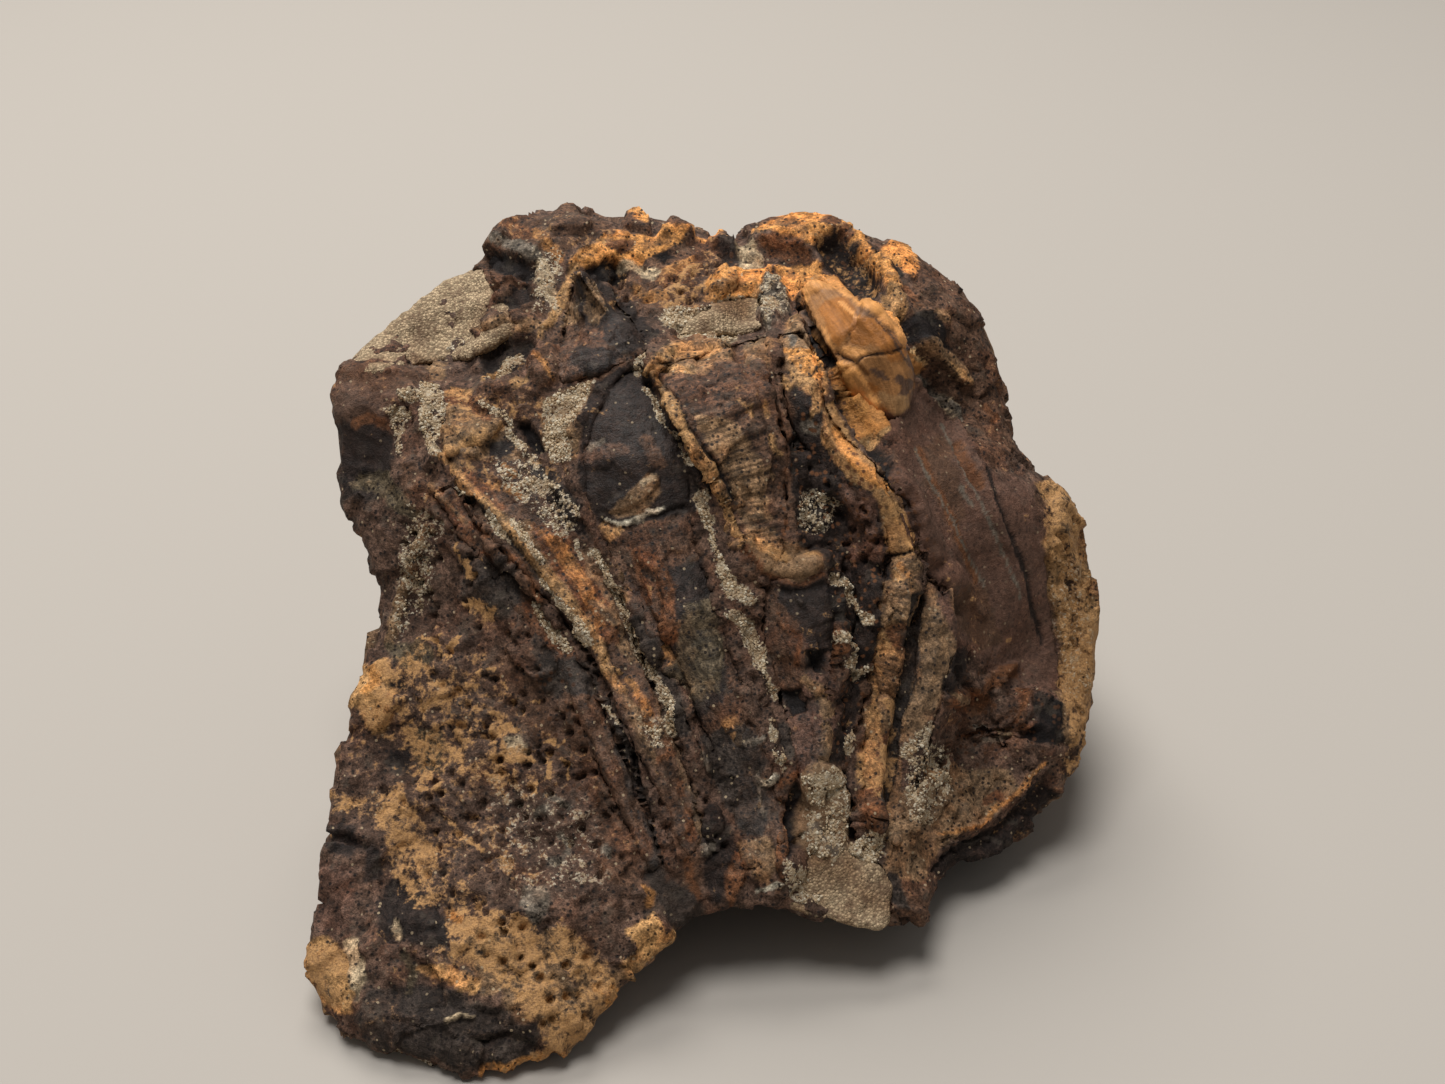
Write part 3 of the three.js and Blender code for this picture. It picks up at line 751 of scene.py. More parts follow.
# foot of the files
form(0.4, 0, (780, 790, 4), (782, 830, 4), (778, 880, 4))
form(-1.0, 5, (784, 812), (797, 782), (801, 800), (798, 848), (786, 858))
form(0.5, 0, (766, 784, 5), (774, 780, 7))
form(0.6, 0, (705, 852, 6), (711, 848, 7))
form(-0.8, 0, (630, 752, 4), (638, 775, 4), (643, 800, 5), (654, 820, 4))
# fin
form(0.4, 0, (577, 266, 4), (568, 284, 5), (558, 306, 5), (542, 332, 5))
form(-0.3, 7, (582, 276), (600, 286), (640, 318), (640, 345), (606, 350), (586, 320))
# enamel: rim, wall, dish, flake and cracks
form(0.2, 0, (808, 288, 8), (822, 281, 9), (842, 285, 8), (856, 297, 7), (864, 304, 6))
form(0.45, 0, (866, 307, 7), (880, 314, 7), (896, 330, 8), (910, 346, 8), (924, 362, 8))
form(-0.25, 14, (830, 304), (858, 318), (884, 340), (904, 366), (880, 378), (850, 350))
form(0.5, 4, (832, 362), (843, 360), (857, 368), (869, 386), (881, 410), (888, 426), (878, 434),
    (867, 433), (856, 416), (846, 394), (841, 377))
form(-0.35, 0, (860, 312, 1.8), (852, 328, 1.8), (845, 342, 1.8))
form(-0.35, 0, (836, 352, 1.8), (848, 359, 1.8), (857, 364, 1.8), (864, 355, 1.8), (880, 356, 1.8),
    (902, 350, 1.5))
form(-0.3, 0, (836, 376, 1.8), (848, 367, 1.8), (857, 365, 1.6), (868, 377, 1.4))
print(len(RELIEF), "marks of relief")

# %% [markdown]
# ## Colour
#
# Iron and manganese have stained the fossil from rust to black, and a pale ochre crust of clay
# clings to it in patches. A tint is stored for each vertex, from broad grounds to small flecks, and
# later tints lie over earlier ones. Some dark tints in hollows and grooves are painted shade mixed
# with dirt, a few are painted shadow, and a few pale strokes on lit edges are painted highlights.
# The left shoulder, the slope behind and the top come first.

# %% Tints of the top
TINTS = []


def dye(colour, edge, *points):
    """A patch or a stroke of one colour."""
    TINTS.append((colour, edge, points))


# left shoulder and left edge
dye("umber", 8, (340, 380), (352, 369), (380, 365), (418, 371), (430, 384), (402, 390), (360, 387))
dye("deep", 14, (335, 425), (372, 418), (392, 440), (385, 500), (350, 500), (338, 460))
dye("rust", 0, (354, 424, 6), (370, 418, 8), (386, 424, 6))
dye("moss", 0, (360, 482, 10), (382, 482, 14), (398, 500, 14), (410, 514, 10))
dye("fawn", 0, (426, 530, 6), (418, 552, 7), (408, 580, 8), (398, 608, 8), (388, 640, 7))
dye("umber", 10, (400, 462), (440, 470), (430, 500), (405, 495))
# rear slope
dye("umber", 6, (386, 336), (400, 322), (425, 325), (442, 330), (430, 342), (400, 346))
dye("umber", 0, (458, 298, 8), (466, 308, 10), (468, 318, 8))
# black: painted shade and dirt in the pit behind the knob
dye("black", 0, (465, 303, 4), (466, 310, 4))
dye("bone", 8, (475, 298), (520, 296), (526, 318), (480, 322), (468, 312))
dye("fawn", 5, (425, 362), (446, 361), (444, 376), (432, 382))
# back knob
dye("umber", 8, (484, 250), (498, 230), (520, 222), (556, 218), (564, 202), (574, 204), (600, 226),
    (614, 236), (598, 241), (566, 250), (560, 264), (550, 300), (545, 318), (500, 322), (480, 318),
    (482, 290))
dye("rust", 0, (505, 228, 6), (520, 232, 8), (545, 232, 8))
dye("ash", 0, (500, 244, 6), (515, 247, 9), (532, 254, 8))
# black and deep: painted shade and dirt in the two pits of the knob
dye("black", 6, (486, 254), (510, 255), (530, 262), (535, 276), (500, 275), (486, 268))
dye("deep", 5, (512, 284), (530, 280), (535, 300), (515, 307), (500, 308))
dye("honey", 0, (536, 230, 6), (548, 246, 8), (560, 258, 6))
dye("buff", 0, (540, 264, 9), (548, 285, 11), (556, 296, 8))
# orange crust and the dark ridge in front of it
dye("orange", 6, (570, 262), (578, 250), (600, 240), (612, 232), (640, 236), (665, 233), (692, 236),
    (676, 250), (650, 260), (636, 268), (612, 262), (588, 264))
dye("umber", 0, (566, 208, 10), (576, 218, 12), (600, 231, 9), (612, 235, 5))
dye("umber", 5, (618, 224), (640, 224), (666, 232), (640, 235), (622, 231))
dye("orange", 0, (628, 215, 4), (637, 219, 6), (647, 225, 4))
dye("umber", 5, (663, 231), (676, 218), (690, 228), (695, 237), (676, 239))
dye("orange", 0, (694, 239, 4), (708, 243, 5), (720, 238, 4))
dye("rust", 0, (606, 246, 6), (622, 250, 7), (634, 244, 5))
dye("honey", 0, (650, 246, 7), (668, 244, 6))
dye("umber", 8, (650, 262), (676, 248), (700, 240), (716, 246), (724, 238), (738, 248), (743, 258),
    (742, 270), (722, 274), (700, 276), (694, 300), (688, 318), (660, 318), (640, 312), (620, 300),
    (608, 284), (630, 270))
dye("rust", 8, (650, 272), (690, 256), (702, 262), (690, 278), (660, 286))
# black: painted shade and dirt in the hollow of the crust
dye("black", 5, (587, 264), (610, 260), (624, 263), (627, 279), (612, 283), (599, 277))
dye("black", 4, (652, 257), (668, 252), (677, 258), (660, 263))
dye("deep", 5, (718, 246), (730, 240), (741, 256), (743, 270), (722, 264))
dye("honey", 0, (636, 288, 8), (650, 301, 8), (664, 296, 7))
dye("honey", 0, (668, 270, 7), (690, 262, 7))
dye("fawn", 0, (622, 304, 3), (627, 316, 4), (631, 323, 3))
dye("buff", 0, (622, 264, 5), (634, 266, 6), (646, 273, 5), (657, 271, 4))
# top valley, grey block and orange wedge
dye("buff", 6, (656, 318), (675, 307), (690, 316), (712, 304), (725, 299), (744, 294), (750, 312),
    (742, 331), (720, 341), (690, 339), (668, 328))
dye("umber", 5, (686, 303), (700, 295), (712, 301), (708, 313), (690, 316))
dye("orange", 5, (706, 280), (722, 269), (742, 272), (762, 266), (772, 261), (773, 276), (758, 290),
    (746, 300), (736, 297), (716, 303), (706, 296))
dye("honey", 0, (712, 292, 7), (728, 288, 8), (740, 284, 6))
dye("tan", 0, (742, 322, 4), (750, 306, 5), (757, 290, 4))
dye("ash", 4, (758, 292), (770, 275), (783, 280), (787, 300), (791, 308), (778, 323), (768, 329), (756, 318))
dye("buff", 0, (764, 304, 5), (772, 312, 6), (766, 320, 4))
dye("buff", 5, (738, 252), (752, 243), (764, 256), (760, 267), (742, 269))
# right lump, its dark hollow and the lobe behind
dye("orange", 7, (754, 240), (768, 222), (790, 214), (812, 211), (840, 215), (850, 228), (866, 240),
    (858, 250), (846, 240), (826, 237), (812, 243), (800, 240), (772, 236))
dye("honey", 0, (774, 228, 6), (790, 224, 7), (800, 232, 6))
dye("rust", 0, (824, 226, 5), (838, 230, 7), (850, 238, 5))
dye("rust", 6, (760, 242), (790, 237), (812, 246), (813, 262), (790, 258), (764, 251))
dye("orange", 6, (776, 264), (812, 258), (823, 263), (820, 277), (806, 281), (800, 292), (788, 296),
    (781, 280))
# deep: painted shade and dirt in the hollow of the lump
dye("deep", 7, (816, 241), (835, 235), (856, 244), (868, 262), (878, 275), (878, 296), (866, 305),
    (850, 292), (842, 272), (822, 266))
dye("black", 0, (868, 248, 4), (882, 262, 5), (897, 277, 6))
dye("orange", 4, (862, 243), (876, 262), (893, 276), (899, 290), (891, 301), (882, 286), (868, 266),
    (857, 254))
dye("tan", 6, (884, 290), (898, 288), (907, 310), (913, 332), (900, 322), (890, 312), (879, 306))
dye("orange", 5, (880, 247), (896, 240), (914, 251), (920, 263), (915, 277), (902, 272), (887, 257))
dye("umber", 8, (912, 282), (920, 260), (938, 264), (957, 284), (968, 296), (972, 318), (987, 322),
    (992, 345), (1002, 372), (1004, 400), (1014, 450), (992, 470), (962, 440), (940, 410), (922, 372),
    (910, 330))
# black: painted shade and dirt in the groove behind the enamel
dye("black", 8, (910, 316), (930, 311), (945, 330), (950, 352), (930, 346), (911, 336))
dye("rust", 0, (902, 291, 6), (912, 300, 7), (921, 307, 5))
dye("fawn", 0, (936, 312, 4), (944, 322, 4))
dye("fawn", 0, (928, 344, 9), (944, 357, 11), (958, 370, 11), (968, 381, 8))
dye("tan", 0, (944, 360, 4), (958, 373, 5), (966, 380, 3))
dye("rust", 0, (986, 408, 6), (994, 420, 6))
dye("buff", 0, (943, 394, 4), (950, 404, 5), (957, 413, 4))
dye("ash", 0, (926, 372, 3), (940, 390, 3), (962, 420, 3))
# arch rim, pocket and block left of the fin
dye("fawn", 0, (484, 332, 6), (500, 326, 7), (520, 326, 7), (538, 324, 6))
dye("rust", 0, (470, 335, 5), (474, 348, 5))
# deep: painted shade and dirt in the pocket
dye("deep", 6, (480, 344), (500, 337), (534, 336), (537, 352), (520, 372), (490, 378), (478, 366))
dye("umber", 4, (530, 353), (552, 349), (559, 360), (561, 380), (546, 389), (527, 382))
dye("honey", 0, (538, 362, 4), (546, 372, 5), (552, 380, 4))
dye("tan", 0, (532, 353, 3), (544, 350, 3.5), (554, 354, 3))
dye("umber", 8, (470, 384), (520, 380), (548, 392), (545, 416), (520, 418), (500, 410), (478, 404))
dye("ochre", 0, (480, 374, 5), (488, 366, 6), (497, 378, 6))
dye("tan", 0, (512, 386, 4), (520, 384, 5), (528, 382, 3))
dye("tan", 5, (440, 397), (450, 388), (470, 387), (472, 398), (458, 405), (444, 405))
dye("rust", 6, (440, 402), (480, 399), (490, 412), (450, 414))
dye("fawn", 7, (446, 416), (462, 411), (500, 419), (505, 428), (486, 440), (476, 457), (456, 451),
    (442, 460), (450, 436))
dye("tan", 0, (444, 456, 3), (455, 448, 4), (470, 440, 4), (482, 430, 5))
dye("rust", 0, (478, 412, 5), (486, 420, 5))
dye("deep", 5, (486, 441), (512, 438), (517, 450), (500, 459), (486, 457))
# black: painted shade and dirt in the pit
dye("black", 4, (518, 418), (530, 420), (543, 438), (545, 449), (534, 453), (523, 440))
dye("fawn", 8, (543, 400), (585, 384), (599, 384), (587, 416), (578, 434), (577, 456), (556, 463), (544, 446))
dye("umber", 0, (560, 442, 5), (568, 434, 4), (566, 460, 6), (570, 472, 4))

# %% [markdown]
# Next come the fin, the files from left to right, and the arch. Pale grit is lodged in grooves.

# %% Tints of the files
# the fin
dye("deep", 7, (579, 268), (592, 270), (612, 290), (640, 315), (662, 331), (640, 346), (620, 356),
    (600, 330), (583, 322), (572, 300))
dye("fawn", 5, (579, 276), (590, 280), (602, 296), (606, 312), (596, 322), (586, 318))
# fawn: painted highlight on the upper part of the fin's left face
dye("fawn", 4, (560, 321), (566, 299), (577, 300), (581, 316), (572, 325), (555, 331))
dye("umber", 6, (546, 341), (556, 328), (590, 322), (607, 340), (592, 345), (580, 363), (556, 363))
dye("deep", 7, (575, 345), (600, 342), (620, 352), (612, 366), (590, 374), (570, 368))
# tan: painted highlight along the fin's lit left edge
dye("tan", 0, (577, 262, 5), (568, 282, 6), (562, 300, 6), (550, 320, 5), (540, 334, 4))
# second tooth, and the lamella on its left
dye("umber", 10, (460, 458), (490, 456), (545, 470), (575, 520), (582, 548), (545, 525), (515, 522),
    (480, 482))
dye("deep", 8, (530, 464), (556, 470), (582, 510), (590, 540), (566, 530), (545, 500))
dye("honey", 0, (484, 480, 4), (498, 485, 5))
dye("honey", 0, (504, 466, 5), (512, 474, 6))
dye("honey", 0, (508, 487, 5), (519, 493, 5))
dye("rust", 0, (468, 470, 6), (490, 492, 7), (502, 506, 5))
dye("rust", 7, (524, 521), (545, 522), (564, 532), (580, 548), (584, 575), (604, 600), (618, 628),
    (622, 645), (604, 648), (588, 624), (570, 592), (548, 567), (540, 546))
dye("honey", 0, (545, 532, 7), (566, 560, 10), (584, 590, 9), (600, 625, 8))
dye("fawn", 0, (590, 602, 4), (604, 613, 7), (613, 624, 6))
dye("umber", 0, (610, 650, 8), (624, 660, 7))
dye("umber", 6, (604, 655), (642, 664), (654, 700), (664, 738), (650, 740), (638, 706), (620, 686))
dye("honey", 0, (628, 676, 4), (644, 704, 6), (652, 722, 6), (657, 734, 4))
# black: painted shade and dirt in the channel between the files
dye("black", 0, (462, 485, 3), (482, 503, 4), (500, 526, 5), (520, 552, 5), (542, 578, 4), (560, 604, 4))
dye("tan", 0, (442, 455, 4), (456, 469, 5), (472, 486, 5), (490, 505, 5), (512, 531, 6), (530, 555, 8),
    (545, 575, 9), (565, 599, 9), (585, 624, 9), (597, 647, 8), (608, 669, 7), (622, 690, 6))
dye("umber", 8, (438, 478), (470, 500), (510, 550), (545, 602), (520, 602), (480, 546), (450, 512))
dye("rust", 0, (446, 499, 4), (460, 514, 5), (472, 528, 5))
dye("rust", 0, (480, 530, 5), (488, 536, 4))
dye("rust", 0, (506, 554, 5), (524, 573, 6), (541, 600, 5))
dye("fawn", 0, (428, 480, 3), (444, 498, 3.5), (458, 513, 3.5), (467, 524, 3))
dye("slate", 12, (530, 630), (560, 660), (592, 662), (604, 692), (572, 704), (542, 694))
# third tooth: dark facet above, streaked below
dye("deep", 5, (600, 379), (618, 369), (641, 359), (652, 385), (660, 405), (675, 432), (690, 465),
    (704, 494), (696, 514), (640, 522), (598, 524), (579, 480), (581, 430))
dye("bone", 0, (588, 455, 9), (602, 450, 11), (624, 449, 8))
dye("umber", 0, (648, 438, 8), (655, 455, 9), (661, 464, 6))
dye("ash", 0, (594, 448, 4), (606, 440, 3))
dye("fawn", 5, (611, 513), (622, 500), (640, 482), (650, 473), (659, 477), (661, 494), (650, 507),
    (640, 516), (620, 517))
dye("buff", 0, (644, 482, 4), (655, 477, 5))
dye("tan", 0, (604, 525, 4), (612, 536, 8), (619, 530, 6))
dye("chalk", 0, (606, 520, 2), (620, 524, 3), (636, 522, 4), (650, 512, 3), (664, 508, 2))
dye("umber", 10, (600, 548), (640, 532), (690, 522), (706, 560), (684, 592), (640, 584), (612, 574))
dye("deep", 10, (640, 580), (700, 560), (720, 620), (730, 700), (700, 720), (670, 660))
dye("rust", 6, (626, 548), (660, 556), (674, 590), (678, 642), (664, 647), (650, 606), (636, 576))
dye("umber", 0, (646, 572, 6), (655, 590, 6), (658, 610, 4))
dye("rust", 0, (659, 594, 2), (668, 620, 2.5), (672, 642, 2))
dye("fawn", 0, (613, 562, 3), (622, 580, 3.5), (634, 600, 3))
dye("slate", 8, (634, 604), (655, 640), (682, 700), (694, 735), (676, 735), (655, 694), (638, 650))
dye("tan", 0, (660, 642, 2.5), (668, 655, 3), (674, 664, 2.5))
dye("moss", 10, (684, 606), (712, 598), (724, 640), (720, 692), (692, 702), (672, 672), (680, 640))
# foot of the fan
dye("slate", 10, (600, 690), (625, 720), (650, 800), (668, 880), (672, 930), (655, 900), (636, 840),
    (612, 760))
dye("umber", 6, (655, 736), (673, 740), (692, 800), (702, 860), (702, 902), (690, 902), (672, 842),
    (660, 782))
dye("rust", 0, (668, 738, 5), (674, 752, 5), (660, 760, 5))
dye("rust", 0, (682, 780, 5), (686, 805, 6), (691, 838, 7))
dye("rust", 0, (687, 862, 6), (692, 880, 7), (699, 897, 5))
dye("slate", 6, (670, 880), (690, 892), (706, 906), (702, 927), (674, 931), (664, 905))
dye("slate", 8, (700, 735), (745, 720), (766, 760), (772, 800), (764, 838), (738, 832), (718, 790))
dye("deep", 6, (706, 800), (735, 830), (735, 850), (720, 900), (708, 905), (700, 850))
dye("ash", 0, (699, 747, 3), (705, 757, 5), (710, 768, 3))
dye("rust", 5, (722, 882), (735, 850), (749, 853), (752, 872), (735, 887), (725, 908))
dye("fawn", 6, (737, 842), (766, 836), (776, 860), (766, 882), (750, 872))
dye("rust", 0, (780, 800, 3), (782, 830, 4), (780, 860, 4), (776, 888, 4))
dye("rust", 0, (782, 786, 6), (790, 780, 6), (799, 774, 4))
# black: painted shade and dirt in the hole at the foot of the files
dye("black", 4, (783, 812), (796, 781), (801, 800), (798, 850), (786, 860))
dye("chalk", 0, (765, 784, 4), (773, 781, 6), (777, 777, 4))
dye("chalk", 0, (757, 890, 3), (768, 885, 4), (777, 879, 3))
dye("ash", 0, (704, 852, 6), (711, 848, 7))
dye("ash", 0, (748, 742, 5), (758, 740, 5))
dye("ash", 0, (760, 770, 3), (762, 800, 3), (766, 815, 3))
dye("tan", 0, (725, 726, 5), (732, 724, 5), (736, 740, 4))
# black: painted shade and dirt in the groove
dye("black", 0, (628, 752, 3), (638, 775, 3), (641, 800, 4), (653, 817, 4))
# fourth tooth, and the bar of enamel down its left side
dye("umber", 6, (658, 376), (695, 374), (735, 384), (748, 400), (764, 440), (775, 470), (780, 512),
    (772, 532), (738, 530), (722, 480), (700, 442), (680, 410))
dye("fawn", 10, (690, 410), (740, 420), (766, 470), (774, 520), (742, 524), (722, 470))
dye("umber", 6, (697, 372), (733, 370), (742, 392), (718, 402), (698, 400))
dye("fawn", 5, (647, 367), (662, 349), (685, 340), (722, 341), (734, 352), (732, 363), (700, 372), (668, 375))
dye("tan", 0, (656, 362, 4), (680, 350, 7), (700, 355, 8), (716, 352, 5))
dye("tan", 0, (652, 368, 2.5), (668, 371, 3), (694, 373, 2.5))
dye("rust", 0, (676, 337, 2.5), (692, 339, 2.5), (706, 339, 2.5))
dye("umber", 7, (736, 362), (756, 352), (790, 372), (800, 400), (792, 470), (796, 530), (780, 530),
    (778, 470), (768, 430), (750, 396))
dye("fawn", 5, (742, 346), (762, 336), (778, 344), (770, 364), (746, 364))
dye("tan", 0, (738, 398, 3), (745, 404, 4), (752, 412, 4))
dye("tan", 0, (764, 400, 4), (768, 412, 4))
dye("tan", 0, (770, 436, 4), (776, 448, 4), (782, 454, 3))
dye("tan", 0, (786, 380, 5), (790, 386, 5))
dye("fawn", 0, (768, 466, 4), (774, 478, 4))
# black: painted shade and dirt in the channel beside the enamel bar
dye("black", 0, (656, 375, 2.5), (672, 400, 3), (688, 428, 3), (706, 452, 3), (722, 478, 3), (735, 505, 2.5))
# black: painted shadow in a strip left of the enamel bar
dye("black", 0, (648, 384, 4), (668, 420, 5), (690, 456, 6), (708, 490, 6))
dye("tan", 0, (648, 368, 3.5), (664, 390, 4.5), (680, 420, 4.5), (692, 440, 5), (703, 460, 5.5),
    (716, 481, 6), (728, 510, 6), (738, 544, 6))
# arch and the round tooth under it
dye("umber", 6, (742, 549), (760, 576), (780, 600), (764, 604), (748, 582), (738, 562))
dye("fawn", 8, (740, 541), (748, 524), (774, 526), (782, 542), (802, 545), (822, 549), (829, 566),
    (800, 582), (780, 582), (762, 568), (748, 554))
dye("tan", 0, (750, 540, 8), (768, 548, 9), (784, 560, 7))
dye("tan", 0, (806, 558, 5), (820, 560, 6))
dye("rust", 0, (746, 549, 2.5), (762, 569, 3), (780, 582, 3), (800, 584, 3), (821, 577, 3))
dye("deep", 6, (776, 588), (822, 581), (838, 592), (840, 622), (833, 652), (808, 650), (796, 622), (776, 612))
dye("umber", 6, (768, 600), (782, 606), (799, 626), (805, 652), (808, 682), (795, 702), (778, 690),
    (768, 650))
dye("rust", 0, (778, 618, 4), (788, 632, 5), (800, 640, 4), (794, 665, 4))
dye("rust", 0, (838, 590, 3), (840, 616, 3), (832, 656, 3), (826, 692, 3))
# black: painted shade and dirt in the round tooth's pit
dye("black", 4, (804, 650), (826, 650), (826, 673), (803, 670))
dye("fawn", 0, (804, 680, 6), (815, 688, 7), (823, 702, 5))
dye("fawn", 0, (823, 690, 3.5), (824, 720, 3.5), (822, 762, 4))
# black: painted shade and dirt in the pit below
dye("black", 6, (778, 690), (802, 690), (806, 713), (790, 718))
dye("slate", 0, (784, 728, 8), (790, 755, 9))
dye("plum", 5, (829, 680), (846, 684), (846, 750), (830, 762))
# black porous zone
dye("deep", 10, (795, 385), (830, 400), (850, 440), (882, 482), (882, 540), (890, 580), (880, 640),
    (868, 660), (848, 762), (830, 762), (842, 640), (827, 572), (797, 546), (790, 470))
dye("plum", 14, (840, 480), (876, 496), (878, 560), (850, 560))
# black: painted shade and dirt down the groove left of the orange strip
dye("black", 0, (800, 298, 5), (812, 330, 6), (830, 360, 6), (840, 386, 8), (854, 414, 9), (872, 442, 9),
    (890, 470, 8), (906, 508, 9), (930, 560, 8))
dye("black", 0, (830, 590, 6), (850, 640, 7), (868, 660, 6))
dye("umber", 0, (866, 686, 7), (868, 702, 6))
dye("ash", 0, (806, 424, 8), (816, 430, 8))

# %% [markdown]
# On the right are the orange and the blue-black files, the cheek, the cavity and a slope of clay.

# %% Tints of the right
# sixth tooth: the orange strip
dye("fawn", 4, (778, 345), (788, 322), (800, 320), (812, 340), (820, 352), (808, 353), (796, 347))
dye("ash", 0, (786, 332, 4), (794, 336, 5), (792, 342, 4))
dye("orange", 4, (784, 349), (800, 346), (820, 351), (828, 361), (822, 378), (812, 377), (800, 373),
    (791, 361))
dye("black", 0, (808, 376, 1.5), (816, 366, 1.5), (822, 362, 1.5))
dye("tan", 4, (816, 380), (826, 370), (826, 392), (818, 412), (807, 419), (812, 400))
dye("tan", 5, (822, 404), (835, 399), (838, 413), (847, 428), (857, 446), (869, 460), (886, 477),
    (898, 485), (899, 500), (905, 520), (918, 545), (905, 553), (887, 552), (881, 530), (880, 506),
    (872, 491), (852, 483), (832, 464), (821, 440))
dye("orange", 0, (834, 430, 5), (842, 448, 7), (858, 468, 8), (882, 484, 8), (894, 489, 4))
dye("ochre", 0, (888, 500, 5), (894, 515, 6), (904, 533, 6), (912, 545, 5))
dye("black", 0, (884, 557, 1.8), (900, 551, 1.8), (920, 546, 1.5))
dye("fawn", 4, (888, 559), (919, 550), (920, 568), (914, 583), (900, 576))
dye("honey", 0, (898, 564, 5), (910, 575, 5))
dye("fawn", 5, (880, 582), (912, 579), (912, 620), (900, 627), (881, 622))
dye("rust", 5, (884, 626), (909, 622), (908, 652), (892, 647))
dye("fawn", 5, (874, 660), (896, 654), (903, 680), (899, 722), (884, 732), (877, 692))
dye("tan", 0, (880, 664, 4), (886, 680, 4))
dye("rust", 0, (888, 730, 5), (881, 750, 6), (878, 790, 6))
dye("tan", 4, (858, 752), (868, 749), (879, 768), (879, 790), (860, 790), (856, 770))
dye("rust", 5, (856, 792), (879, 790), (877, 832), (860, 833))
# seventh tooth, the dark column beside it and the broken foot
# slate: painted shade and dirt down the groove of the dark column
dye("slate", 0, (919, 598, 9), (912, 645, 12), (906, 680, 11), (897, 720, 10), (888, 770, 9), (882, 802, 8))
dye("clay", 5, (930, 630), (949, 602), (957, 650), (948, 673), (930, 722), (915, 748), (904, 742),
    (912, 700), (920, 668))
dye("fawn", 0, (944, 625, 5), (944, 655, 6), (932, 685, 5))
dye("bone", 5, (900, 742), (925, 737), (922, 786), (900, 792))
# cheek
dye("plum", 10, (900, 405), (925, 385), (946, 402), (986, 472), (1036, 482), (1052, 560), (1064, 640),
    (1068, 690), (1048, 760), (1010, 690), (960, 650), (940, 602), (918, 547), (894, 492))
dye("umber", 16, (920, 425), (948, 440), (965, 500), (955, 545), (925, 480))
dye("rust", 0, (955, 446, 5), (968, 464, 7), (980, 484, 5))
dye("rust", 0, (915, 440, 4), (950, 520, 6), (975, 580, 4))
dye("ash", 0, (905, 430, 1.6), (940, 500, 2), (985, 590, 1.6))
dye("ash", 0, (940, 425, 1.4), (990, 520, 1.8), (1020, 600, 1.4))
dye("deep", 0, (985, 470, 3), (1020, 560, 4), (1042, 640, 3))
dye("ash", 0, (961, 484, 3), (966, 498, 3), (972, 506, 2))
dye("umber", 8, (958, 582), (985, 586), (1002, 642), (975, 656), (960, 622))
# crust on the far right
dye("tan", 14, (1038, 480), (1058, 478), (1075, 500), (1084, 540), (1094, 570), (1098, 620), (1100, 680),
    (1100, 730), (1094, 770), (1084, 792), (1074, 780), (1080, 740), (1066, 690), (1060, 640), (1052, 590),
    (1047, 550), (1050, 520))
dye("fawn", 5, (1044, 500), (1062, 497), (1072, 530), (1054, 542))
dye("umber", 0, (1066, 542, 4), (1072, 570, 7), (1079, 600, 9), (1077, 620, 5))
dye("umber", 0, (1040, 496, 6), (1052, 512, 5))
dye("fawn", 5, (1050, 692), (1068, 690), (1078, 720), (1072, 746), (1058, 738))
dye("umber", 8, (1058, 746), (1080, 746), (1084, 770), (1072, 797), (1058, 802), (1048, 770))
# cavity
# deep: painted shadow under the cheek, over the shallow hollow dug there
dye("deep", 10, (940, 692), (950, 664), (964, 648), (972, 662), (962, 684), (950, 702))
dye("rust", 5, (975, 685), (1000, 665), (1013, 661), (1019, 675), (1000, 683), (980, 691))
dye("rust", 6, (944, 701), (958, 688), (985, 690), (993, 700), (970, 711), (950, 707))
dye("fawn", 0, (952, 696, 4), (965, 700, 5))
dye("bone", 8, (950, 713), (1010, 700), (1019, 736), (1010, 762), (980, 766), (955, 746))
dye("fawn", 0, (985, 722, 3), (1000, 728, 4), (1012, 726, 3))
dye("ash", 0, (975, 745, 3), (992, 750, 4), (1004, 744, 3))
dye("rust", 0, (960, 735, 3), (978, 733, 4))
dye("ash", 0, (964, 722, 4), (976, 718, 5))
dye("rust", 0, (1020, 690, 5), (1018, 712, 5), (1029, 728, 5), (1036, 733, 3))
dye("slate", 0, (1034, 704, 9), (1038, 716, 8))
dye("moss", 0, (1000, 733, 4), (1015, 739, 5))
dye("black", 6, (1044, 700), (1056, 705), (1061, 740), (1048, 746), (1026, 742))
# clay slope and dark ledge below the cavity
dye("clay", 9, (903, 792), (922, 778), (935, 766), (960, 764), (1010, 770), (1020, 790), (992, 818),
    (950, 840), (935, 862), (925, 884), (908, 905), (888, 890), (886, 842))
dye("honey", 0, (927, 768, 5), (936, 780, 6))
dye("deep", 5, (933, 872), (950, 846), (975, 837), (1000, 825), (1020, 799), (1042, 774), (1062, 798),
    (1070, 808), (1042, 814), (1022, 842), (1000, 855), (960, 868), (938, 877))
dye("rust", 0, (988, 803, 4), (1002, 797, 6))
dye("honey", 0, (940, 834, 2.5), (960, 829, 2.5), (985, 824, 2.5), (996, 808, 2.5), (1010, 800, 2.5),
    (1020, 786, 2.5), (1034, 770, 3), (1045, 762, 3))

# %% [markdown]
# At the foot lie sandstone, spongy bone and a dark band. The amber enamel comes last, finely feathered.

# %% Tints of the foot
# sandstone lens and its surroundings
dye("clay", 5, (801, 785), (810, 767), (822, 759), (841, 767), (847, 790), (847, 842), (836, 872),
    (812, 873), (800, 840))
dye("buff", 0, (814, 780, 8), (826, 778, 9), (834, 792, 7))
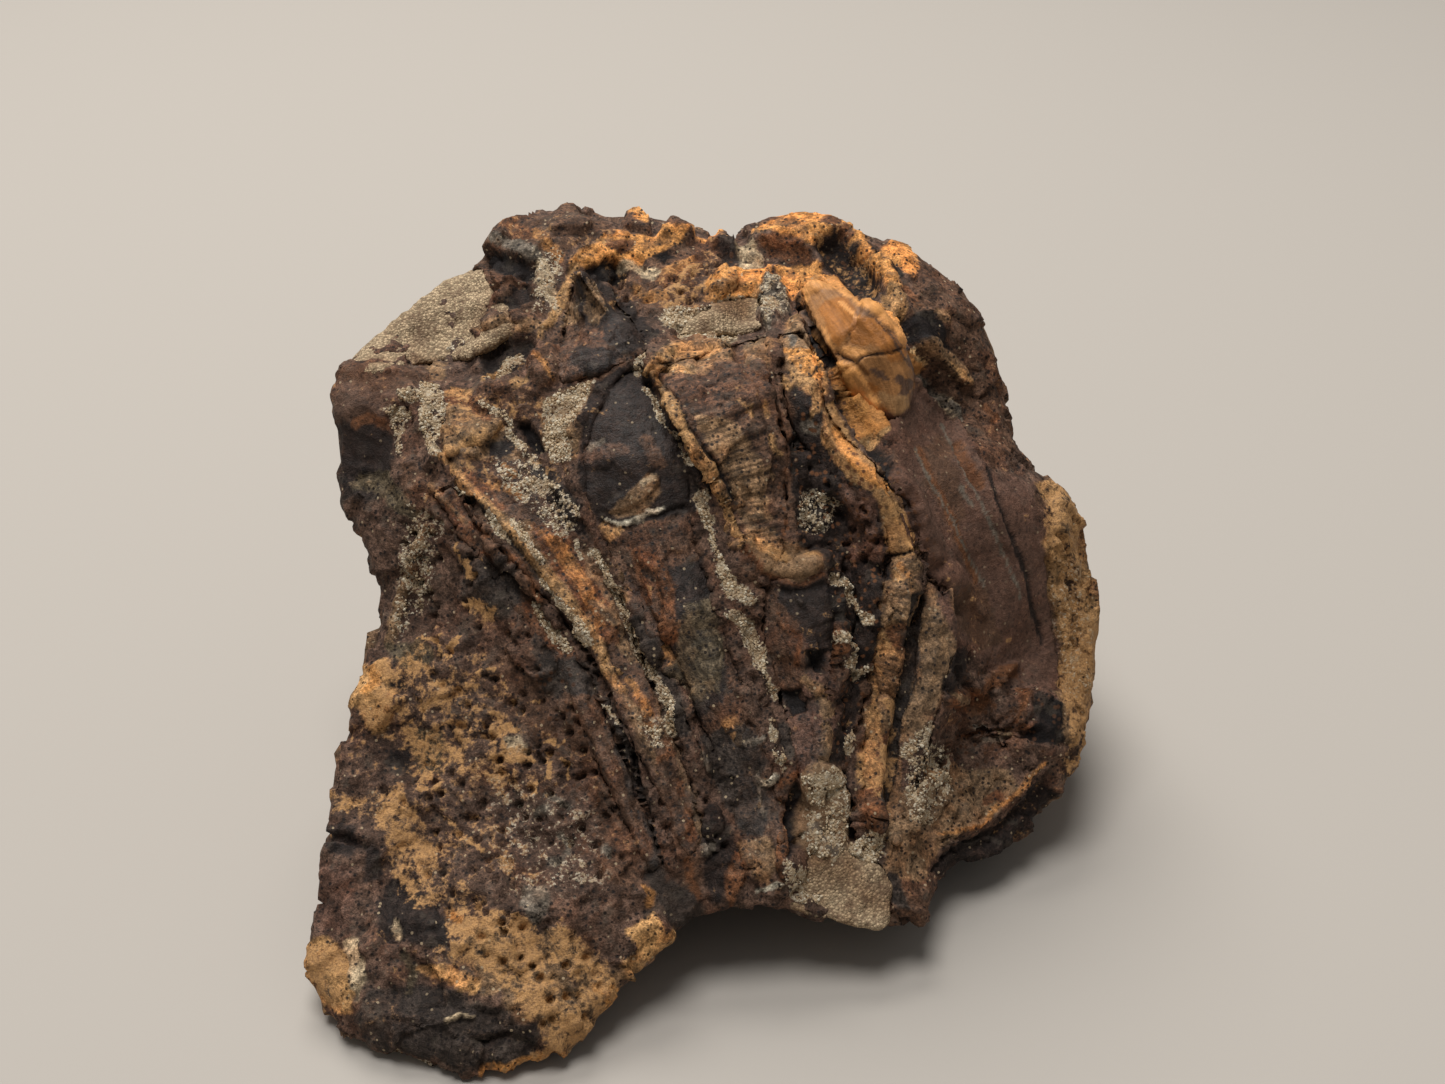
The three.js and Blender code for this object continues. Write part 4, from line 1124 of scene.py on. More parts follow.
# black: painted shade and dirt in the groove beside the lens
dye("black", 0, (849, 772, 3), (851, 800, 4), (850, 836, 4))
dye("ash", 0, (812, 828, 8), (824, 846, 9), (840, 860, 7))
dye("umber", 9, (886, 880), (926, 880), (942, 912), (926, 930), (900, 937), (870, 918))
dye("slate", 0, (893, 880, 8), (900, 905, 8))
dye("honey", 0, (850, 894, 5), (854, 912, 6))
dye("bone", 8, (778, 880), (800, 868), (842, 880), (800, 902))
# spongy bone
dye("slate", 16, (462, 556), (504, 560), (524, 604), (500, 618), (464, 594))
dye("umber", 24, (500, 640), (545, 700), (560, 760), (510, 720), (490, 680))
dye("umber", 14, (560, 690), (600, 700), (632, 800), (642, 852), (608, 852), (588, 780), (560, 740))
dye("umber", 14, (600, 788), (642, 800), (652, 850), (642, 892), (598, 880))
dye("moss", 10, (384, 644), (420, 640), (440, 655), (420, 668), (392, 660))
dye("moss", 12, (410, 728), (440, 735), (440, 775), (412, 765))
dye("ash", 0, (540, 812, 6), (550, 808, 5))
dye("ash", 0, (545, 796, 3), (560, 800, 3), (572, 808, 3))
dye("ash", 0, (562, 834, 5), (570, 840, 5), (566, 850, 4))
dye("ash", 0, (552, 862, 6), (562, 858, 5))
dye("ash", 0, (606, 845, 5), (612, 855, 4))
dye("ash", 6, (520, 884), (548, 884), (552, 905), (536, 928), (520, 906))
dye("ochre", 6, (364, 668), (384, 656), (393, 668), (395, 692), (392, 716), (384, 732), (372, 737),
    (361, 716), (350, 710))
dye("orange", 0, (372, 668, 6), (378, 680, 7), (368, 692, 5))
dye("deep", 0, (394, 682, 4), (398, 676, 5), (401, 684, 4))
dye("bone", 6, (344, 720), (358, 711), (367, 735), (374, 753), (366, 762), (345, 760), (333, 746))
dye("deep", 8, (392, 748), (410, 742), (408, 770), (390, 770), (382, 760))
dye("bone", 9, (326, 762), (345, 764), (360, 785), (335, 790), (324, 782))
dye("buff", 5, (503, 735), (520, 735), (527, 752), (508, 757))
dye("umber", 7, (470, 766), (500, 768), (515, 780), (480, 788), (462, 780))
# dark left band and the foot
dye("deep", 7, (320, 824), (356, 827), (363, 846), (350, 862), (330, 852))
dye("plum", 10, (316, 860), (356, 870), (352, 936), (330, 942), (314, 920))
dye("deep", 12, (362, 842), (384, 846), (384, 880), (366, 884))
dye("deep", 12, (392, 880), (425, 890), (446, 920), (448, 950), (420, 950), (380, 940), (378, 905))
dye("buff", 0, (392, 922, 5), (394, 935, 5))
dye("ochre", 10, (306, 940), (328, 937), (345, 955), (351, 985), (346, 1012), (330, 1014), (310, 1004),
    (300, 985))
dye("honey", 0, (308, 984, 7), (318, 1002, 6))
dye("ash", 0, (320, 986, 6), (324, 996, 7))
dye("buff", 8, (342, 945), (358, 940), (364, 975), (354, 1002), (346, 972))
dye("clay", 0, (308, 1012, 6), (338, 1040, 6), (378, 1056, 5))
dye("slate", 12, (350, 1020), (365, 990), (400, 985), (440, 982), (470, 1000), (510, 1010), (522, 1030),
    (540, 1035), (532, 1060), (500, 1066), (440, 1066), (400, 1060), (362, 1040))
dye("bone", 10, (370, 950), (400, 940), (440, 955), (440, 978), (400, 985), (374, 985))
dye("moss", 0, (400, 956, 5), (412, 972, 6), (404, 990, 5))
dye("fawn", 12, (454, 916), (500, 910), (512, 940), (502, 990), (482, 997), (463, 960))
dye("tan", 0, (468, 928, 10), (490, 922, 12), (486, 945, 10))
dye("ochre", 0, (420, 970, 6), (444, 974, 10), (460, 981, 12), (474, 986, 9))
dye("orange", 0, (446, 908, 6), (456, 916, 7))
dye("buff", 0, (445, 1019, 2.5), (456, 1012, 3.5), (473, 1015, 2))
dye("fawn", 14, (500, 945), (560, 925), (600, 952), (624, 976), (616, 1008), (580, 1044), (530, 1068),
    (500, 1074), (500, 1064), (540, 1052), (546, 1030), (520, 1016), (500, 1000))
dye("orange", 0, (598, 986, 8), (612, 990, 8), (606, 1006, 9))
dye("orange", 0, (484, 1069, 4), (500, 1065, 5), (530, 1059, 5), (560, 1050, 5))
dye("deep", 6, (520, 1024), (534, 1020), (538, 1044), (524, 1054))
dye("bone", 0, (562, 966, 3), (575, 985, 4))
dye("bone", 0, (588, 988, 3), (598, 1006, 4))
dye("bone", 0, (553, 1012, 4), (566, 1032, 5))
dye("bone", 0, (578, 942, 3), (590, 966, 3))
dye("bone", 0, (599, 950, 3), (607, 972, 3))
dye("bone", 0, (508, 972, 5), (518, 968, 5))
dye("ochre", 5, (624, 930), (650, 913), (656, 930), (670, 929), (672, 941), (655, 950), (640, 957))
dye("tan", 5, (621, 955), (640, 951), (643, 969), (626, 977))
dye("honey", 0, (644, 887, 5), (650, 895, 6), (648, 906, 5))
# eighth tooth: amber enamel with a peach rim
dye("plum", 7, (880, 412), (905, 408), (915, 385), (942, 408), (932, 442), (895, 447), (879, 430))
dye("amber", 7, (828, 300), (845, 300), (863, 316), (849, 332), (838, 346), (829, 330), (821, 312))
dye("amber", 6, (860, 316), (873, 318), (891, 336), (906, 356), (900, 372), (880, 353), (866, 350),
    (848, 342), (850, 330))
dye("honey", 7, (845, 345), (870, 345), (886, 356), (880, 366), (865, 363), (850, 357))
dye("peach", 0, (845, 346, 5), (856, 352, 7), (863, 352, 4))
dye("honey", 8, (862, 366), (905, 361), (913, 385), (905, 402), (885, 397), (868, 382))
dye("amber", 0, (868, 386, 4), (878, 392, 5))
dye("umber", 0, (872, 371, 3), (881, 375, 5), (886, 381, 3))
dye("umber", 0, (897, 379, 5), (907, 385, 7), (900, 396, 6))
dye("tan", 6, (880, 394), (905, 396), (911, 408), (892, 413), (882, 406))
dye("peach", 0, (806, 296, 8), (809, 288, 9), (822, 281, 10), (841, 285, 9), (854, 296, 8), (860, 304, 6))
dye("orange", 0, (820, 276, 3), (836, 277, 3), (850, 286, 3), (860, 300, 3))
dye("peach", 0, (842, 305, 2.2), (852, 313, 2.5), (860, 318, 2))
dye("orange", 0, (863, 305, 6), (877, 312, 7), (893, 326, 8), (906, 345, 8), (919, 360, 8), (926, 368, 6))
dye("peach", 0, (880, 316, 4), (894, 330, 5), (907, 347, 6), (919, 360, 6))
dye("cream", 0, (902, 331, 2), (917, 347, 2.2), (929, 363, 2.2))
# umber: painted shadow line on the inner side of the enamel's right rim
dye("umber", 0, (884, 330, 1.6), (895, 346, 1.6), (909, 367, 1.6))
dye("orange", 3, (831, 362), (843, 359), (857, 367), (869, 385), (882, 410), (889, 426), (879, 434),
    (866, 434), (855, 416), (845, 394), (840, 378))
dye("peach", 0, (856, 376, 5), (866, 396, 7), (876, 418, 7))
dye("cream", 0, (866, 433, 2.5), (875, 437, 4), (887, 429, 3))
dye("peach", 0, (823, 328, 2), (829, 336, 2.5), (833, 344, 2.5))
dye("umber", 0, (836, 352, 1.5), (848, 359, 1.5), (857, 364, 1.5), (864, 355, 1.5), (880, 356, 1.5),
    (902, 350, 1.3))
print(len(TINTS), "tints")

# %% [markdown]
# Five layers lie over the tints. Ochre is the lace of clay crust, sand is what the river packed into
# the channels, gritty is crumbled stone, growth says where a tooth's own lines show, and smooth is
# worn or enamelled. Pores are the cut cells of spongy bone, which are dug into the mesh.

# %% Layers
# strength, edge in pixels, points
OCHRE = [
    (0.62, 6, [(372, 660), (385, 657), (398, 672), (390, 700), (392, 716), (386, 726), (395, 735),
     (388, 745), (378, 755), (372, 740), (362, 725), (358, 710), (352, 705), (360, 690), (365, 675)]),
    (1.0, 0, [(420, 640, 2), (437, 643, 2.5), (445, 655, 3), (452, 660, 3)]),
    (1.0, 0, [(460, 636, 3), (453, 650, 3), (450, 658, 3)]),
    (0.9, 0, [(485, 668, 2), (495, 672, 2.5)]),
    (0.95, 0, [(455, 545, 3), (463, 560, 4), (471, 574, 5)]),
    (0.6, 7, [(461, 600), (480, 594), (500, 604), (498, 622), (478, 618)]),
    (0.55, 7, [(435, 678), (455, 672), (470, 680), (480, 695), (478, 712), (465, 715), (470, 730),
     (480, 740), (500, 745), (520, 750), (522, 765), (490, 765), (460, 780), (430, 775), (440, 755),
     (440, 735), (445, 715), (440, 700), (460, 705), (468, 695), (450, 685)]),
    (1.0, 0, [(504, 725, 5), (516, 730, 4)]),
    (1.0, 0, [(510, 762, 4), (526, 757, 5)]),
    (1.0, 0, [(422, 790, 4), (429, 791, 3)]),
    (1.0, 0, [(535, 785, 5), (537, 793, 4)]),
    (0.9, 0, [(522, 702, 2), (532, 697, 2.5), (539, 698, 2)]),
    (1.0, 0, [(541, 742, 2), (550, 738, 3), (555, 744, 2.5), (562, 740, 2)]),
    (1.0, 0, [(542, 750, 4), (548, 765, 4), (545, 776, 5)]),
    (1.0, 0, [(560, 756, 3), (566, 765, 4), (564, 776, 3)]),
    (0.58, 20, [(392, 650), (450, 655), (490, 690), (520, 745), (500, 770), (420, 780), (396, 730)]),
    (0.4, 40, [(380, 640), (480, 640), (570, 740), (560, 860), (470, 900), (380, 860), (340, 780)]),
    (0.74, 16, [(325, 788), (350, 792), (400, 780), (425, 815), (440, 850), (440, 900), (410, 905),
     (385, 870), (372, 825), (330, 816)]),
    (0.5, 14, [(430, 830), (470, 840), (500, 880), (480, 915), (440, 915)]),
    (0.85, 0, [(450, 822, 4), (460, 835, 4), (475, 848, 4), (488, 858, 3)]),
    (0.62, 8, [(420, 880), (450, 865), (470, 880), (468, 900), (455, 915), (440, 905)]),
    (0.78, 16, [(440, 915), (505, 905), (560, 925), (600, 952), (622, 976), (612, 1008), (580, 1044),
     (530, 1068), (500, 1074), (500, 1062), (540, 1050), (540, 1030), (510, 1000), (470, 965), (430, 960)]),
    (0.7, 8, [(306, 942), (328, 937), (346, 956), (350, 985), (345, 1012), (320, 1008), (305, 985)]),
    (0.42, 14, [(590, 266), (700, 256), (740, 262), (735, 300), (680, 316), (620, 300)]),
    (0.4, 14, [(500, 222), (570, 212), (620, 240), (590, 262), (540, 256), (500, 240)]),
    (0.4, 16, [(430, 395), (545, 385), (575, 480), (520, 500), (440, 462)]),
    (0.72, 8, [(1046, 486), (1068, 486), (1086, 550), (1096, 620), (1094, 720), (1084, 785), (1064, 800),
     (1060, 700), (1058, 620)]),
    (0.45, 12, [(800, 224), (840, 226), (872, 262), (878, 300), (850, 290)]),
    (0.5, 10, [(882, 700), (900, 700), (890, 800), (872, 800)]),
]
SAND = [
    (0.9, 5, [(420, 385), (437, 388), (444, 398), (447, 438), (438, 458), (428, 448), (422, 430)]),
    (0.9, 4, [(398, 390), (420, 392), (437, 388), (442, 396), (425, 403), (410, 405), (400, 400)]),
    (0.8, 5, [(385, 408), (400, 405), (412, 412), (400, 430), (400, 456), (392, 450)]),
    (0.8, 0, [(484, 405, 5), (500, 412, 5), (512, 422, 5), (508, 432, 5), (520, 445, 5), (532, 460, 4)]),
    (1.0, 5, [(545, 400), (585, 384), (598, 382), (585, 415), (572, 432), (572, 458), (556, 462),
     (545, 450)]),
    (0.55, 8, [(488, 456), (530, 462), (560, 490), (580, 525), (560, 540), (530, 510), (500, 480)]),
    (0.9, 0, [(460, 488, 5), (472, 493, 4)]),
    (1.0, 0, [(490, 513, 4), (500, 530, 5), (508, 541, 3)]),
    (1.0, 0, [(512, 520, 4), (525, 540, 6), (540, 560, 6)]),
    (0.9, 0, [(540, 582, 4), (552, 595, 5), (568, 612, 5), (580, 630, 8), (586, 643, 7)]),
    (0.9, 0, [(536, 605, 5), (545, 622, 6), (558, 640, 7), (568, 651, 5)]),
    (0.8, 0, [(545, 480, 3), (560, 488, 4), (572, 505, 4), (580, 514, 3)]),
    (1.0, 0, [(592, 550, 5), (602, 565, 5), (608, 585, 6), (622, 600, 8), (628, 615, 6), (636, 635, 7),
     (642, 655, 7), (650, 670, 6), (660, 685, 7), (668, 705, 6), (672, 728, 8)]),
    (0.8, 0, [(575, 540, 4), (578, 557, 3)]),
    (0.8, 0, [(605, 705, 2.5), (612, 715, 3.5), (617, 725, 2.5)]),
    (0.9, 0, [(640, 358, 6), (637, 372, 5)]),
    (1.0, 0, [(645, 393, 5), (655, 400, 5), (662, 415, 6), (668, 425, 5), (677, 436, 4)]),
    (1.0, 0, [(682, 446, 6), (686, 460, 6), (694, 466, 5)]),
    (1.0, 0, [(702, 500, 10), (712, 530, 6), (715, 555, 6), (722, 570, 10), (732, 590, 12), (750, 600, 8)]),
    (1.0, 0, [(732, 612, 6), (745, 625, 8), (748, 640, 10), (758, 650, 10), (760, 665, 6), (770, 685, 4),
     (778, 700, 3)]),
    (0.6, 0, [(770, 720, 5), (776, 745, 6), (784, 770, 5)]),
    (0.6, 8, [(800, 492), (824, 488), (836, 505), (832, 532), (806, 536), (796, 515)]),
    (0.9, 0, [(830, 578, 4), (845, 590, 6), (850, 605, 7), (870, 620, 7)]),
    (0.9, 0, [(838, 634, 6), (852, 648, 8), (842, 662, 7), (856, 674, 9), (868, 668, 6)]),
    (0.8, 4, [(842, 735), (855, 725), (860, 745), (850, 758), (842, 755)]),
    (0.85, 8, [(655, 318), (680, 305), (700, 309), (715, 300), (742, 297), (750, 312), (742, 331),
     (720, 341), (690, 338), (665, 327)]),
    (0.55, 5, [(758, 292), (770, 275), (783, 280), (790, 306), (778, 323), (764, 328)]),
    (0.9, 0, [(488, 375, 7), (503, 357, 10), (517, 350, 7)]),
    (0.5, 10, [(528, 250), (562, 250), (558, 312), (532, 312)]),
    (0.6, 0, [(438, 348, 9), (472, 348, 9)]),
    (0.9, 0, [(905, 750, 9), (920, 740, 9), (932, 726, 6)]),
    (0.55, 12, [(903, 760), (925, 738), (948, 750), (955, 790), (930, 826), (905, 820)]),
    (0.66, 6, [(803, 775), (836, 764), (846, 800), (845, 850), (830, 866), (804, 860)]),
    (0.95, 8, [(850, 845), (870, 830), (884, 828), (882, 855), (870, 882), (850, 896), (820, 902),
     (800, 904), (784, 888), (785, 862), (815, 868)]),
    (0.6, 12, [(640, 716), (664, 720), (670, 742), (650, 746)]),
    (0.26, 40, [(470, 760), (600, 800), (612, 900), (500, 900)]),
    (0.5, 18, [(405, 500), (440, 520), (430, 600), (392, 640)]),
    (0.25, 14, [(1046, 560), (1090, 560), (1094, 700), (1062, 700)]),
]
GRITTY = [
    (1.0, 12, [(795, 385), (830, 400), (850, 440), (882, 482), (890, 580), (880, 640), (868, 700),
     (850, 764), (832, 764), (842, 640), (830, 572), (797, 546), (788, 470)]),
    (1.0, 0, [(744, 362, 9), (770, 400, 12), (786, 460, 13), (786, 530, 11)]),
    (0.8, 0, [(800, 298, 6), (812, 330, 7), (830, 360, 7), (854, 414, 9), (890, 470, 8), (930, 560, 8)]),
    (0.8, 8, [(816, 241), (856, 244), (878, 275), (878, 300), (850, 292), (822, 266)]),
    (0.6, 12, [(640, 268), (742, 250), (742, 272), (694, 300), (688, 318), (640, 312), (608, 284)]),
    (0.5, 14, [(945, 690), (1000, 640), (1056, 706), (1050, 755), (970, 766), (945, 740)]),
    (0.5, 30, [(520, 640), (590, 690), (640, 850), (600, 890), (540, 800)]),
]
GROWTH = [
    (1.3, 10, [(664, 376), (735, 376), (765, 430), (790, 500), (785, 545), (740, 540), (716, 470)]),
    (0.1, 8, [(812, 290), (840, 282), (925, 368), (905, 410), (885, 425), (850, 380)]),
    (0.9, 5, [(874, 580), (914, 576), (914, 630), (902, 700), (872, 700)]),
    (0.7, 6, [(530, 522), (562, 530), (590, 585), (622, 640), (600, 650), (560, 580)]),
    (0.5, 14, [(600, 545), (700, 530), (740, 640), (770, 780), (700, 760), (640, 650)]),
]
SMOOTH = [
    (0.35, 10, [(600, 379), (641, 359), (661, 405), (690, 465), (704, 496), (690, 515), (600, 522),
     (579, 480)]),
    (0.9, 12, [(900, 405), (925, 385), (986, 472), (1036, 482), (1052, 560), (1062, 690), (1010, 680),
     (960, 640), (918, 547), (894, 492)]),
    (0.7, 12, [(326, 396), (352, 369), (425, 375), (392, 410), (385, 470), (340, 462)]),
    (0.8, 5, [(799, 785), (822, 755), (850, 790), (850, 846), (832, 868), (800, 858)]),
    (1.0, 6, [(806, 282), (840, 276), (900, 330), (930, 368), (912, 412), (888, 434), (866, 434),
     (828, 350)]),
    (0.6, 6, [(740, 545), (822, 550), (836, 640), (800, 650), (780, 600)]),
    (0.7, 8, [(820, 400), (838, 400), (890, 480), (920, 548), (888, 552), (840, 470)]),
    (0.6, 10, [(640, 880), (700, 860), (706, 925), (665, 925)]),
]
LAYERS = {"ochre": OCHRE, "sand": SAND, "gritty": GRITTY, "growth": GROWTH, "smooth": SMOOTH}
# spongy side, spongy foot, porous zone, upper ridge, foot of the files
PORES = [
    [(430, 548, 40), (480, 620, 85), (520, 690, 105), (560, 780, 95), (590, 860, 60)],
    [(430, 800, 50), (500, 930, 70), (560, 990, 60)],
    [(800, 400, 30), (840, 480, 42), (858, 560, 40), (856, 640, 32), (850, 720, 24)],
    [(600, 280, 24), (660, 285, 30), (720, 280, 24)],
    [(660, 800, 30), (720, 830, 50), (790, 830, 30)],
]

# %% [markdown]
# ## What the marks say of a place
#
# A mark reaches only what the camera sees, and a little round each edge, so that it doesn't print
# through to the far side. What is hidden is coloured by noise alone. Noise also bends each mark a
# few pixels, because nothing that broke or settled has a clean edge.

# %% Sight lines
SEEN_FROM, SEEN_TO = -0.3, 0.1
ROUND_THE_EDGE = 2.5
WARP, FRAY = 3.0, 1.5
whole_tree = tree(list(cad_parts))


def visible(places, normals):
    """1 where the camera sees a place or nearly sees it round an edge, 0 where it is hidden."""
    seen = rise(facing(places, normals), SEEN_FROM, SEEN_TO)
    eye = Vector(EYE)
    for n in np.flatnonzero(seen > 0):
        away = Vector(places[n]) - eye
        gap = whole_tree.ray_cast(eye, away)[3]
        if gap is not None and away.length - gap > ROUND_THE_EDGE * MM:
            seen[n] = 0
    return seen


def warped(places):
    """Where the camera sees these places, bent a few pixels by noise."""
    bend = np.stack([rough(places, size=4, octaves=2, seed=seed) for seed in (31, 47)], 1)
    fray = np.stack([lumps(places, size=0.7, seed=seed) for seed in (33, 49)], 1)
    return sight(places) + WARP * bend + FRAY * fray


# %% Heights, layers and tints
RAGGED = 0.3


def relief(spots):
    """The height in millimetres that the marks give each spot."""
    height = np.zeros(len(spots))
    for tall, edge, points in RELIEF:
        height += tall * rise(cover(spots, points, edge), 0, 1)
    return height


def layered(spots, seen):
    """How strong each layer is at each spot."""
    levels = {}
    for layer, marks in LAYERS.items():
        level = np.zeros(len(spots))
        for strength, edge, points in marks:
            level = np.maximum(level, strength * cover(spots, points, edge))
        levels[layer] = level * seen
    return levels


def towards(tint, colour, share):
    """This tint, moved by a share towards a colour of the palette."""
    return tint + share[:, None] * (np.array(PALETTE[colour]) - tint)


def painted(places, spots, seen, hidden_tint):
    """The tint of each place: bone, each tooth's own colour along its line, and then the marks."""
    tint = np.tile(PALETTE["bone"], (len(places), 1))
    for colour, _, line in TOOTH_LINES.values():
        tint = towards(tint, colour, cover(spots, line))
    broken = RAGGED * lumps(places, size=0.8, seed=37)
    for colour, edge, points in TINTS:
        tint = towards(tint, colour, rise(cover(spots, points, edge) + broken, 0.3, 0.7))
    return hidden_tint + seen[:, None] * (tint - hidden_tint)


# %% [markdown]
# ## The surface of the bone
#
# Broken stone is made of facets, so the bone gets flat tilted cells at two sizes, softened by noise,
# under the marks. Spongy bone is dug with pits, and crusts of sand stand a little proud. Noise is
# held back where the surface is worn, and under a tooth the bone hardly moves.

# %% Dig the bone
# heights in millimetres, and the share of each that a worn surface loses
SWELL, SWELL_WORN = 0.35, 0.5
LUMP, LUMP_WORN = 0.24, 0.75
FACET, SMALL_FACET, FACET_WORN = 0.7, 0.4, 0.9
SAND_CRUST, GRIT = 0.16, 0.2
PORE_SIZE, PORE_DEPTH, PORE_RADIUS, NO_PORE = 1.25, 1.1, 0.44, 0.35
UNDER_COVER = 0.25

places, normals = read(bone.data)
seen, spots = visible(places, normals), warped(places)
levels = layered(spots, seen)
worn = levels["smooth"]
broken = bent(places, reach=0.5, size=2.2)
height = SWELL * rough(places, size=7, octaves=2, seed=1) * (1 - SWELL_WORN * worn)
height += LUMP * rough(places, size=2.4, octaves=3, seed=5) * (1 - LUMP_WORN * worn)
height += (FACET * facets(broken, size=6.5, seed=2)
           + SMALL_FACET * facets(broken, size=2.4, seed=9)) * (1 - FACET_WORN * worn)
height += (SAND_CRUST * levels["sand"] * (1 + lumps(places, size=0.8, seed=27))
           + GRIT * levels["gritty"] * lumps(places, size=0.75, seed=29))
height += relief(spots) * seen
pore_gap, pore_number = nearest_point(places, PORE_SIZE, seed=3)
for line in PORES:
    deep = cover(spots, line) * seen * (pore_number > NO_PORE)
    height -= PORE_DEPTH * deep * rise(PORE_RADIUS - pore_gap, 0, 0.25)
bare = 1 - rise(seam, 0.5, 1)
write(bone.data, places + normals * (height * (UNDER_COVER + (1 - UNDER_COVER) * bare) * MM)[:, None])
print("bone relief from", round(height.min(), 2), "to", round(height.max(), 2), "mm")
tally(bone)

# %% [markdown]
# The marks colour the face. The back, the base and the sides are mottled from dark bone to brown
# clay, with more clay on the right, and stained with ochre and sand. Seams and pits get painted
# shade and dirt.

# %% Paint the bone
RIGHT_CRUST = (26, 38)
HIDDEN_STAIN = 0.6
# how far into a seam its painted shade starts, how much painted shade a pit gets per millimetre, and the
# deepest that counts
SEAM_SHADE_FROM, PIT_SHADE, DEEPEST = 0.35, 0.35, 1.2

mottle = rough(places, size=9, octaves=3, seed=71) + 0.5 * rise(places[:, 0] / MM, *RIGHT_CRUST)
hidden_tint = towards(np.array(PALETTE["bone"]), "fawn", rise(mottle, -0.2, 0.9))
hidden_tint = towards(hidden_tint, "deep", rise(-mottle, 0.2, 0.9))
levels["ochre"] += (1 - seen) * rise(rough(places, size=11, octaves=3, seed=83), -0.1, 1.1) * HIDDEN_STAIN
levels["sand"] += (1 - seen) * rise(rough(places, size=13, octaves=2, seed=87), 0.2, 1.1) * HIDDEN_STAIN
# dark is painted shade and dirt: towards black in the seams beside the teeth and in pits, more the deeper
# they are
dark = np.clip(rise(seam, SEAM_SHADE_FROM, 1) + np.clip(-height, 0, DEEPEST) * PIT_SHADE, 0, 1)
note(bone.data, tint=painted(places, spots, seen, hidden_tint), **levels, dark=dark)

# %% [markdown]
# ## The teeth
#
# Each tooth is a fine remesh of its own solid, ridged by its growth lines: some files show them
# lengthwise, as fibres, and others across, like the milled edge of a coin. Teeth that lie flush wore
# down with the bone, so their edges are squared. The crown with amber enamel has far less grit.

# %% Growth lines
# roughly: pixels to a millimetre, and half a file's width in millimetres
PIXELS_PER_MM, HALF_WIDTH = 10, 2.5
LINE_STRETCH = 5


def growth_lines(run, beside, pitch, direction):
    """Fine ridges from -1 to 1 that run across a tooth or along it."""
    fast, slow = (run, beside) if direction == "across" else (beside, run)
    grid = np.stack([fast / pitch, slow / (pitch * LINE_STRETCH), np.zeros(len(run))], 1)
    return lumps(grid * MM, 1, seed=21) * 0.7 + lumps(grid * MM, 0.45, seed=22) * 0.3


def skin(node, voxel, passes=3):
    """A fine, softened remesh of one solid."""
    piece = remeshed("look_" + node, merged(node), voxel)
    bm = shell_of(piece)
    soften(bm, bm.verts, passes)
    bm.to_mesh(piece.data)
    bm.free()
    return piece


# %% Dig and paint the teeth
TOOTH_VOXEL = 0.27
TOOTH_GRIT = {"tooth_3": 0.8, "tooth_6": 0.7, "tooth_7": 0.6, "tooth_8": 0.12}
GRIT_WORN, TOOTH_LUMP, TOOTH_FACET, FINE_GRIT = 0.6, 0.2, 0.34, 0.1
RAISED, SQUARED, SQUARED_TO = 0.12, 0.4, 1.1
# how much painted shade a tooth's hollows get per millimetre
TOOTH_PIT_SHADE = 0.45


def tooth_height(name, places, spots, seen, levels, run, beside):
    """How far each place of a tooth moves out, in millimetres."""
    pitch, tall, direction = TOOTH_LINES[name][1]
    grit = TOOTH_GRIT.get(name, 1) * (1 - GRIT_WORN * levels["smooth"])
    broken = bent(places, reach=0.4, size=1.6)
    height = tall * (0.3 + 0.9 * levels["growth"]) * growth_lines(run, beside * HALF_WIDTH, pitch, direction)
    height += grit * (TOOTH_LUMP * rough(places, size=2.6, octaves=3, seed=7)
                      + TOOTH_FACET * facets(broken, size=2.8, seed=4)) + RAISED
    height += FINE_GRIT * grit * rough(places, size=0.8, octaves=2, seed=17)
    if name not in PROUD:
        height += SQUARED * seen * (np.clip(np.abs(beside), 0, SQUARED_TO) ** 2 - 0.6)
    height += SAND_CRUST * levels["sand"] * (1 + lumps(places, size=0.8, seed=27))
    return height + relief(spots) * seen


teeth = {}
for name, (colour, _, line) in TOOTH_LINES.items():
    tooth = skin(name, TOOTH_VOXEL)
    places, normals = read(tooth.data)
    distance, beside = along(sight(places), curve(line))
    run = distance / PIXELS_PER_MM
    seen, spots = visible(places, normals), warped(places)
    levels = layered(spots, seen)
    height = tooth_height(name, places, spots, seen, levels, run, beside)
    write(tooth.data, places + normals * (height * MM)[:, None])
    tint = painted(places, spots, seen, np.tile(PALETTE[colour], (len(places), 1)))
    # dark is painted shade and dirt in the tooth's hollows, more the deeper they are
    note(tooth.data, tint=tint, **levels, dark=np.clip(-height, 0, DEEPEST) * TOOTH_PIT_SHADE,
         run=run, beside=beside * HALF_WIDTH)
    teeth[name] = tooth
    tally(tooth)

# %% [markdown]
# ## The sandstone
#
# The fillings are river sand that set hard in the jaw's hollows. They are lumpy at two sizes here,
# and the material adds cells the size of sand.

# %% Sandstone
STONE_VOXEL = 0.42
STONE_SWELL, STONE_LUMP, STONE_RAISED = 0.4, 0.16, 0.2
STONE_SAND = 0.85

stones = {}
for name in STONES:
    stone = skin(name, STONE_VOXEL)
    places, normals = read(stone.data)
    height = (STONE_SWELL * rough(places, size=4.5, octaves=3, seed=15)
              + STONE_LUMP * rough(places, size=1.2, octaves=2, seed=16) + STONE_RAISED)
    write(stone.data, places + normals * (height * MM)[:, None])
    shade = rise(rough(places, size=5, octaves=3, seed=19), -0.3, 0.9)
    note(stone.data, tint=towards(np.array(PALETTE["buff"]), "fawn", shade),
         sand=np.full(len(places), STONE_SAND))
    stones[name] = stone
    tally(stone)

# %% [markdown]
# ## Loose grains
#
# Where sand still clings to the bone and the teeth, single grains stand out of it: small, low-sided
# balls, scattered over the faces that carry the sand layer and joined in one mesh.

# %% Where grains may lie
GRAIN_COUNT = 8800
SMALLEST, LARGEST = 0.06, 0.2


